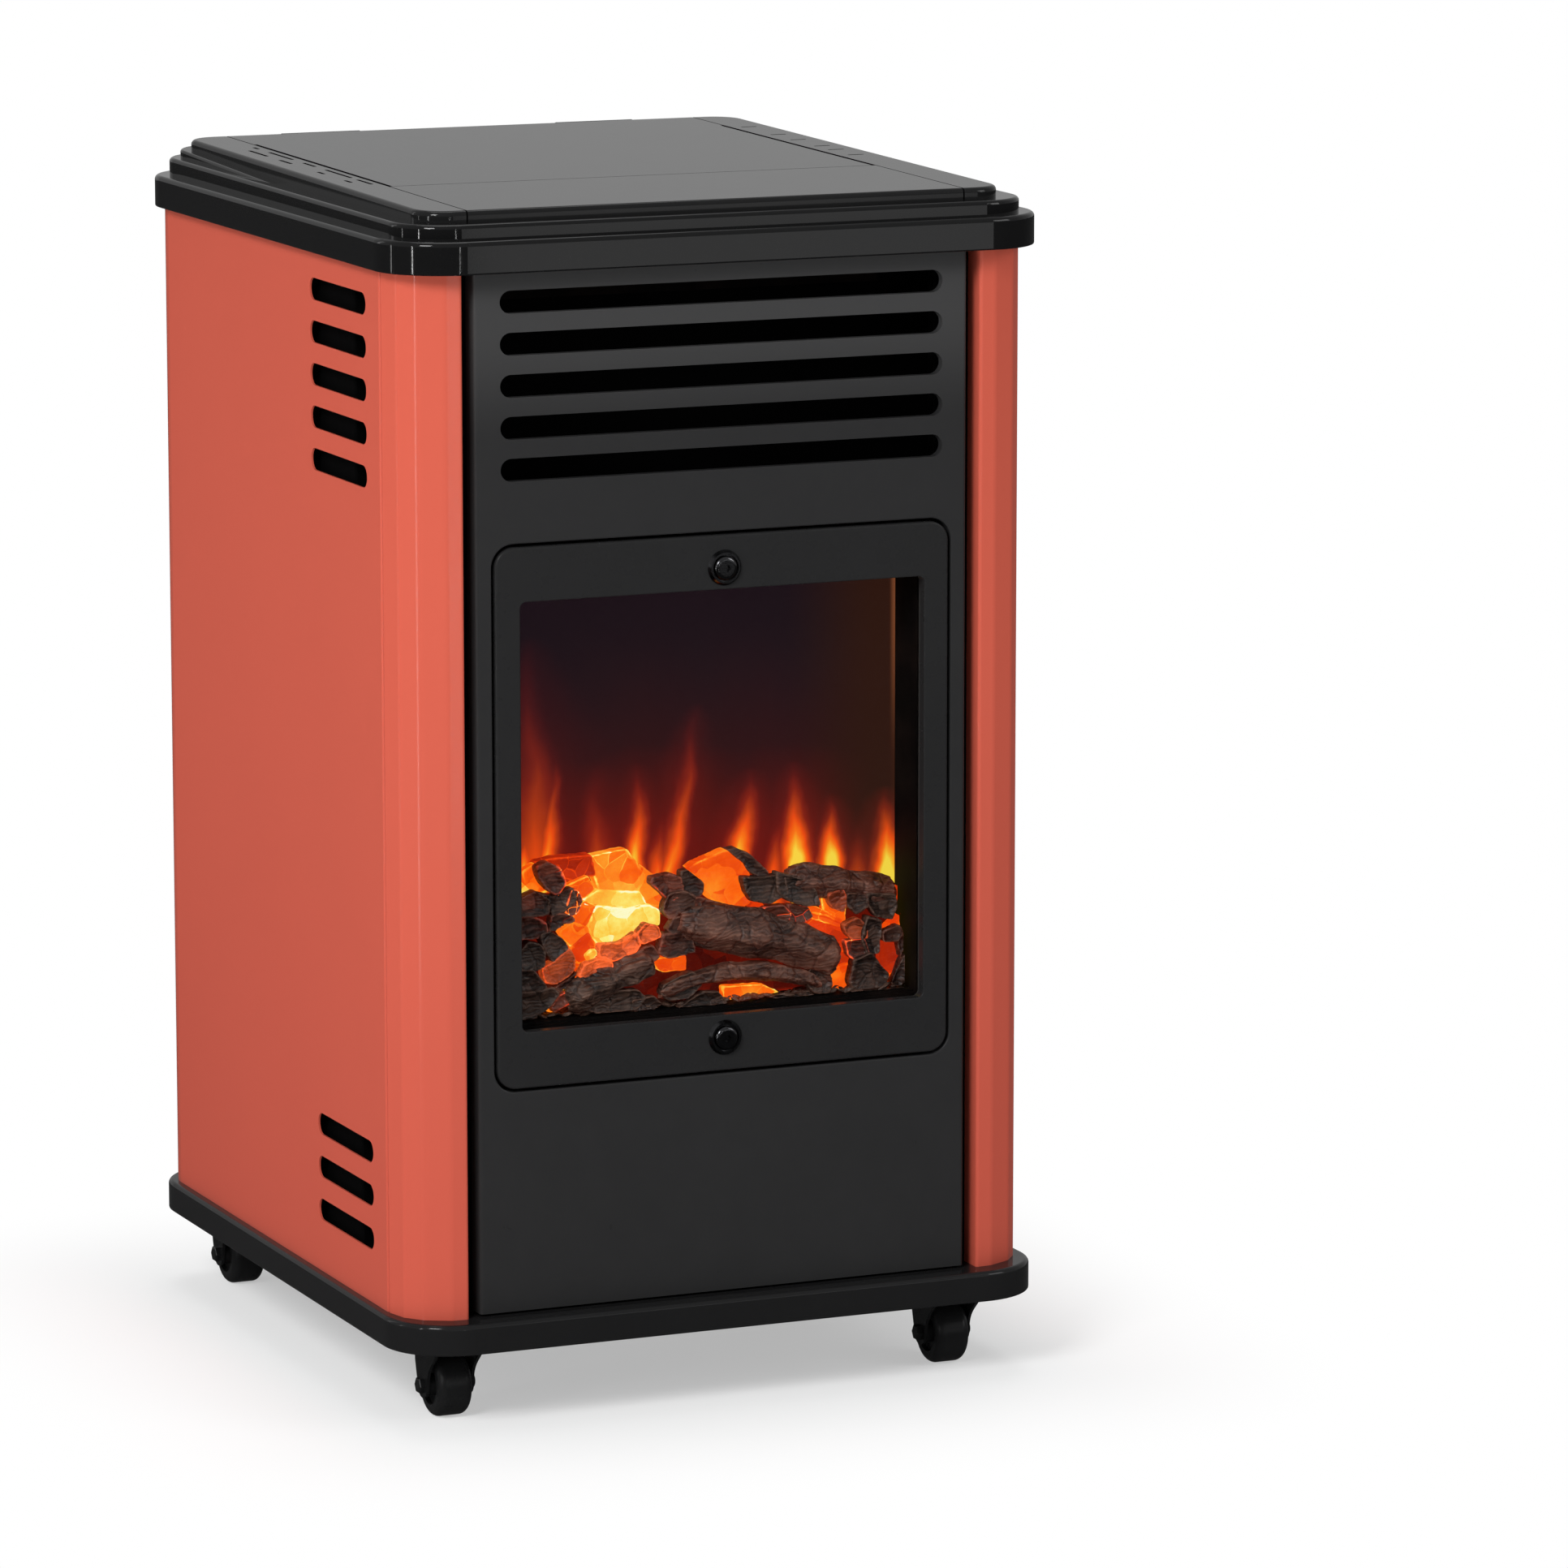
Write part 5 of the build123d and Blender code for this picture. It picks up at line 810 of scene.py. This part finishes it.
def makeChunk(name, y, half, warmth, outline, seed):
    say = chunkWork
    xs = [x / 1000 for x, z in outline]
    zs = [z / 1000 for x, z in outline]
    long, high = max(xs) - min(xs), max(zs) - min(zs)
    coarse = say["coarser"] if long > say["longFrom"] else 1.0
    bpy.ops.object.select_all(action="DESELECT")
    bpy.ops.mesh.primitive_circle_add(vertices=len(outline), radius=0.01, fill_type="NGON")
    chunk = bpy.context.object
    chunk.name = name
    for vertex, x, z in zip(chunk.data.vertices, xs, zs):
        vertex.co = (x, y + half, z)
    bpy.ops.object.mode_set(mode="EDIT")
    bpy.ops.mesh.select_mode(type="FACE")
    bpy.ops.mesh.select_all(action="SELECT")
    bpy.ops.mesh.extrude_region_move(TRANSFORM_OT_translate={"value": (0, -half * say["deep"], 0)})
    pushFront(say, half, min(long, high), seed)
    bpy.ops.mesh.select_all(action="SELECT")
    bpy.ops.mesh.normals_make_consistent(inside=False)
    bpy.ops.mesh.bevel(offset=say["edge"], segments=2, affect="EDGES", clamp_overlap=True)
    bpy.ops.object.mode_set(mode="OBJECT")
    remesh = chunk.modifiers.new("even", "REMESH")
    remesh.mode = "VOXEL"
    remesh.voxel_size = say["voxel"] * coarse
    remesh.use_smooth_shade = True
    ease = chunk.modifiers.new("ease", "SMOOTH")
    ease.factor = 0.5
    ease.iterations = 4
    roughen(chunk, "VORONOI", say["plate"] * coarse, say["groove"] * coarse, say["grooveLevel"])
    roughen(chunk, "CLOUDS", say["grit"], say["gritDepth"])
    applyAll(chunk)
    onlySelect(chunk)
    bpy.ops.object.shade_smooth()
    setWarmth(chunk, warmth)
    return chunk

chunkKinds = {
    # finish, slot, node that it stands for
    "emberBlocks": ("emberBlock", "ceramic_ember", "ember_blocks"),
    "warmSlabs": ("warmSlab", "ceramic_ember", None),
    "charredCoals": ("charredCoal", "ceramic_char", None),
}

for name, (finish, slot, node) in chunkKinds.items():
    laid = [makeChunk(name + str(i), *say, seed=i + 3) for i, say in enumerate(chunks[name])]
    piece = joined(laid, name, ceramic[finish])
    if node:
        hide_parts(node)
print("chunks of ceramic laid")


# small coals strewn over the bed: a few broken shapes, each used many times

coalShapes = {
    "count": 6,
    "break": 0.34,           # how far the points of a ball of radius 1 are knocked about
    "flatten": 24,           # faces that meet at less than this angle become one
    "edge": 0.13,
}

def makeCoalShape(seed):
    say = coalShapes
    bpy.ops.object.select_all(action="DESELECT")
    bpy.ops.mesh.primitive_ico_sphere_add(subdivisions=2, radius=1.0)
    shape = bpy.context.object
    shape.name = "coalShape%d" % seed
    bpy.ops.object.mode_set(mode="EDIT")
    bpy.ops.mesh.select_all(action="SELECT")
    bpy.ops.transform.vertex_random(offset=say["break"], seed=seed)
    bpy.ops.mesh.convex_hull()
    bpy.ops.mesh.dissolve_limited(angle_limit=math.radians(say["flatten"]))
    bpy.ops.mesh.select_all(action="SELECT")
    bpy.ops.mesh.bevel(offset=say["edge"], segments=1, affect="EDGES", clamp_overlap=True)
    bpy.ops.object.mode_set(mode="OBJECT")
    return shape

def layCoal(shape, name, place, half, turn, seed):
    coal = shape.copy()
    coal.data = coal.data.copy()
    coal.name = name
    bpy.context.collection.objects.link(coal)
    # each coal is tilted its own way, by its seed
    tilt = (math.radians(seed * 37 % 70 - 35), math.radians(turn), math.radians(seed * 53 % 90 - 45))
    spin = Euler(tilt).to_matrix().to_4x4()
    coal.data.transform(Matrix.Diagonal((*half, 1.0)) @ spin)
    coal.data.transform(Matrix.Translation(place) @ Matrix.Rotation(math.radians(turn), 4, "Y"))
    settle(coal, 32.0)
    return coal

emberChips = {
    "rows": 3,
    "count": 40,             # chips in a row
    "x": (-0.128, 0.128),
    "y": (-0.1990, -0.1800),
    "z": 0.2478,             # half a millimetre below the top of the bed that they stand for
    "half": (0.0046, 0.0030, 0.0017),
    "lift": 0.3,             # how far a chip's middle lies above that, in its half heights
    "strayX": 0.0016,        # how far a chip strays along its row, and across it in row widths
    "strayY": 0.3,
    "size": 0.85,            # the middle size of a chip, as a share of half, and how far sizes differ from it
    "differ": 0.35,
}

def strewChips(say):
    shapes = [makeCoalShape(seed) for seed in range(1, coalShapes["count"] + 1)]
    left, right = say["x"]
    front, rear = say["y"]
    chips = []
    for i in range(say["count"]):
        for row in range(say["rows"]):
            seed = i * say["rows"] + row
            x = left + (right - left) * (i + 0.5) / say["count"] + say["strayX"] * math.sin(seed * 2.3)
            inRow = row + 0.5 + say["strayY"] * math.sin(seed * 1.7)
            y = front + (rear - front) * inRow / say["rows"]
            grow = say["size"] + say["differ"] * math.sin(seed * 3.1)
            half = tuple(h * grow for h in say["half"])
            place = (x, y, say["z"] + half[2] * say["lift"])
            turn = seed * 29 % 60 - 30
            chips.append(layCoal(shapes[seed % len(shapes)], "chip%d" % seed, place, half, turn, seed))
    for shape in shapes:
        bpy.data.objects.remove(shape)
    return chips

chips = joined(strewChips(emberChips), "emberChips", ceramic["charredCoal"])
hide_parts("ember_bed")
print("ember chips strewn")


# marks printed on the control plate: ticks round the knob and a spark beside the button

dialMarks = {
    "top": 0.70300,          # height of the control plate
    "thick": 0.00016,
    "corner": 0.35,          # rounding of a mark's corners, in its widths
    "knob": (-0.048, -0.020),
    "ring": 0.0285,          # radius of the ring of ticks
    "ticks": 13,
    "start": 90.0,           # the angle of the first tick, and the sweep from it to the last
    "sweep": 210.0,
    "longEvery": 6,          # off, pilot and full have the long ticks
    "long": 0.0042,
    "short": 0.0014,
    "wide": 0.0011,
    "button": (0.048, -0.020),
    "spark": [
        # across and along from the button, length, turn
        (0.0210, 0.0030, 0.0075, 68),
        (0.0215, -0.0008, 0.0042, 160),
        (0.0206, -0.0042, 0.0070, 68),
    ],
    "sparkWide": 0.0010,
}

def flatMark(name, x, y, long, wide, turn):
    say = dialMarks
    bpy.ops.object.select_all(action="DESELECT")
    bpy.ops.mesh.primitive_plane_add(size=1.0, location=(x, y, say["top"]),
                                     rotation=(0, 0, math.radians(turn)))
    mark = bpy.context.object
    mark.name = name
    mark.scale = (long, wide, 1.0)
    bpy.ops.object.transform_apply(location=False, rotation=False, scale=True)
    bpy.ops.object.mode_set(mode="EDIT")
    bpy.ops.mesh.select_all(action="SELECT")
    bpy.ops.mesh.bevel(offset=wide * say["corner"], segments=3, affect="VERTICES")
    bpy.ops.mesh.select_all(action="SELECT")
    bpy.ops.mesh.extrude_region_move(TRANSFORM_OT_translate={"value": (0, 0, say["thick"])})
    bpy.ops.mesh.select_all(action="SELECT")
    bpy.ops.mesh.normals_make_consistent(inside=False)
    bpy.ops.object.mode_set(mode="OBJECT")
    settle(mark)
    return mark

def printMarks(say):
    marks = []
    x, y = say["knob"]
    for i in range(say["ticks"]):
        turn = say["start"] + say["sweep"] * i / (say["ticks"] - 1)
        away = Vector((math.cos(math.radians(turn)), math.sin(math.radians(turn)))) * say["ring"]
        long = say["short"] if i % say["longEvery"] else say["long"]
        marks.append(flatMark("tick%d" % i, x + away.x, y + away.y, long, say["wide"], turn))
    x, y = say["button"]
    for i, (dx, dy, long, turn) in enumerate(say["spark"]):
        marks.append(flatMark("spark%d" % i, x + dx, y + dy, long, say["sparkWide"], turn))
    return marks

joined(printMarks(dialMarks), "dialMarks", plastic["dialPrint"])
print("dial marked")


# floor, light and camera

studio = {
    "floor": (0.93, 0.93, 0.93),
    "paper": 60.0,           # size of the sheet, and how far back its middle lies
    "paperBack": 8.0,
    # the paper goes from a share of its full white to all of it between two distances from the base
    "base": (0.20, 0.22),
    "shadowWhite": 0.36,
    "shadowFrom": -0.06,
    "shadowReach": 0.22,
    "world": 0.28,
    "mirroredFloor": 0.06,   # how light the floor and the sky look in the shine of the object
    "mirroredSky": 0.47,
    "lamps": [
        # place, aim, width, height, power
        ((-3.06, -2.76, 3.0), (0.0, 0.0, 0.45), 1.4, 1.4, 170.0),   # the main light, then two that fill
        ((3.0, -3.0, 2.4), (0.0, 0.0, 0.40), 1.8, 1.8, 50.0),
        ((0.2, 0.6, 3.6), (0.0, 0.0, 0.6), 1.8, 1.8, 26.0),
        ((-1.44, -0.71, 0.43), (-0.21, -0.23, 0.43), 0.024, 0.82, 3.4),   # strips that shine in the columns
        ((-1.40, 0.20, 0.43), (-0.20, -0.15, 0.43), 0.016, 0.82, 0.9),
        ((0.08, -1.95, 0.43), (0.0, -0.2, 0.43), 0.010, 0.82, 1.1),
        ((-2.2, 2.3, 1.6), (-0.2, 0.0, 0.40), 0.50, 1.8, 4.0),      # from behind
        ((1.02, -2.60, 0.42), (0.0, -0.25, 0.68), 0.55, 0.34, 1.0),   # low, towards the front of the top
    ],
    "eye": (-1.8656, -4.6156, 1.2450),   # the photograph's viewpoint, as fitted to it
    "yaw": 23.44,
    "pitch": 10.18,
    "focal": 9836.0,         # in the photograph's pixels, as its width is
    "photoWidth": 1932.0,
    "sensor": 36.0,
    "farthest": 80.0,
}

def paperFloor(say):
    paper = Finish("studioFloor")
    faint = paper.noise(2.0, 2.0)
    colour = paper.mixed(faint, say["floor"], tuple(c * 0.995 for c in say["floor"]))
    matt = paper.node("ShaderNodeBsdfDiffuse", {}, {"Color": colour})
    white = paper.node("ShaderNodeEmission", {}, {"Color": (1.0, 1.0, 1.0), "Strength": 1.0})
    path = paper.node("ShaderNodeLightPath", {}, {}, None)
    camera, mirrored, through = [Value(paper, path.outputs[name]) for name in
                                 ("Is Camera Ray", "Is Glossy Ray", "Is Transmission Ray")]
    halfX, halfY = say["base"]
    pastX = (paper.x.size() - halfX).atLeast(0.0)
    pastY = (paper.y.size() - halfY).atLeast(0.0)
    away = (pastX * pastX + pastY * pastY) ** 0.5
    clear = away.smooth(say["shadowFrom"], say["shadowReach"], say["shadowWhite"], 1.0)
    lit = paper.node("ShaderNodeMixShader", {}, {0: camera.atLeast(through) * clear, 1: matt, 2: white})
    dim = paper.node("ShaderNodeEmission", {}, {"Color": (1.0, 1.0, 1.0), "Strength": say["mirroredFloor"]})
    both = paper.node("ShaderNodeMixShader", {}, {0: mirrored, 1: lit, 2: dim})
    paper.tree.links.new(both.socket, paper.output.inputs["Surface"])
    return paper.material

def whiteWorld(say):
    world = bpy.data.worlds.new("studioWorld")
    bpy.context.scene.world = world
    world.use_nodes = True
    tree = world.node_tree
    tree.nodes.clear()
    path = tree.nodes.new("ShaderNodeLightPath")
    either = tree.nodes.new("ShaderNodeMixShader")
    out = tree.nodes.new("ShaderNodeOutputWorld")
    seen = tree.nodes.new("ShaderNodeMath")
    seen.operation = "MAXIMUM"
    tree.links.new(path.outputs["Is Camera Ray"], seen.inputs[0])
    tree.links.new(path.outputs["Is Transmission Ray"], seen.inputs[1])
    tree.links.new(seen.outputs[0], either.inputs[0])
    mirrored = tree.nodes.new("ShaderNodeMixShader")
    tree.links.new(path.outputs["Is Glossy Ray"], mirrored.inputs[0])
    tree.links.new(either.outputs[0], mirrored.inputs[1])
    for mix, slot, strength in (
        (either, 1, say["world"]),
        (either, 2, 1.0),
        (mirrored, 2, say["mirroredSky"]),
    ):
        sky = tree.nodes.new("ShaderNodeBackground")
        sky.inputs[0].default_value = (1, 1, 1, 1)
        sky.inputs[1].default_value = strength
        tree.links.new(sky.outputs[0], mix.inputs[slot])
    tree.links.new(mirrored.outputs[0], out.inputs[0])

def hangLamp(name, place, aim, width, height, power):
    data = bpy.data.lights.new(name, "AREA")
    data.shape = "RECTANGLE"
    data.size = width
    data.size_y = height
    data.energy = power
    lamp = bpy.data.objects.new(name, data)
    bpy.context.scene.collection.objects.link(lamp)
    lamp.location = place
    lamp.rotation_euler = (Vector(aim) - Vector(place)).to_track_quat("-Z", "Y").to_euler()

def placeCamera(say):
    data = bpy.data.cameras.new("photoCamera")
    camera = bpy.data.objects.new("photoCamera", data)
    bpy.context.scene.collection.objects.link(camera)
    camera.location = say["eye"]
    camera.rotation_euler = (math.radians(90.0 - say["pitch"]), 0.0, -math.radians(say["yaw"]))
    data.sensor_width = say["sensor"]
    data.lens = say["focal"] / say["photoWidth"] * data.sensor_width
    data.clip_end = say["farthest"]
    bpy.context.scene.camera = camera

def makeStudio(say):
    bpy.ops.object.select_all(action="DESELECT")
    bpy.ops.mesh.primitive_plane_add(size=say["paper"], location=(0, say["paperBack"], 0))
    floor = bpy.context.object
    floor.name = "studioFloor"
    settle(floor)
    floor.data.materials.append(paperFloor(say))
    whiteWorld(say)
    for index, lamp in enumerate(say["lamps"]):
        hangLamp("lamp%d" % index, *lamp)
    placeCamera(say)
    bpy.context.scene.view_settings.view_transform = "Standard"

makeStudio(studio)
print("studio set")
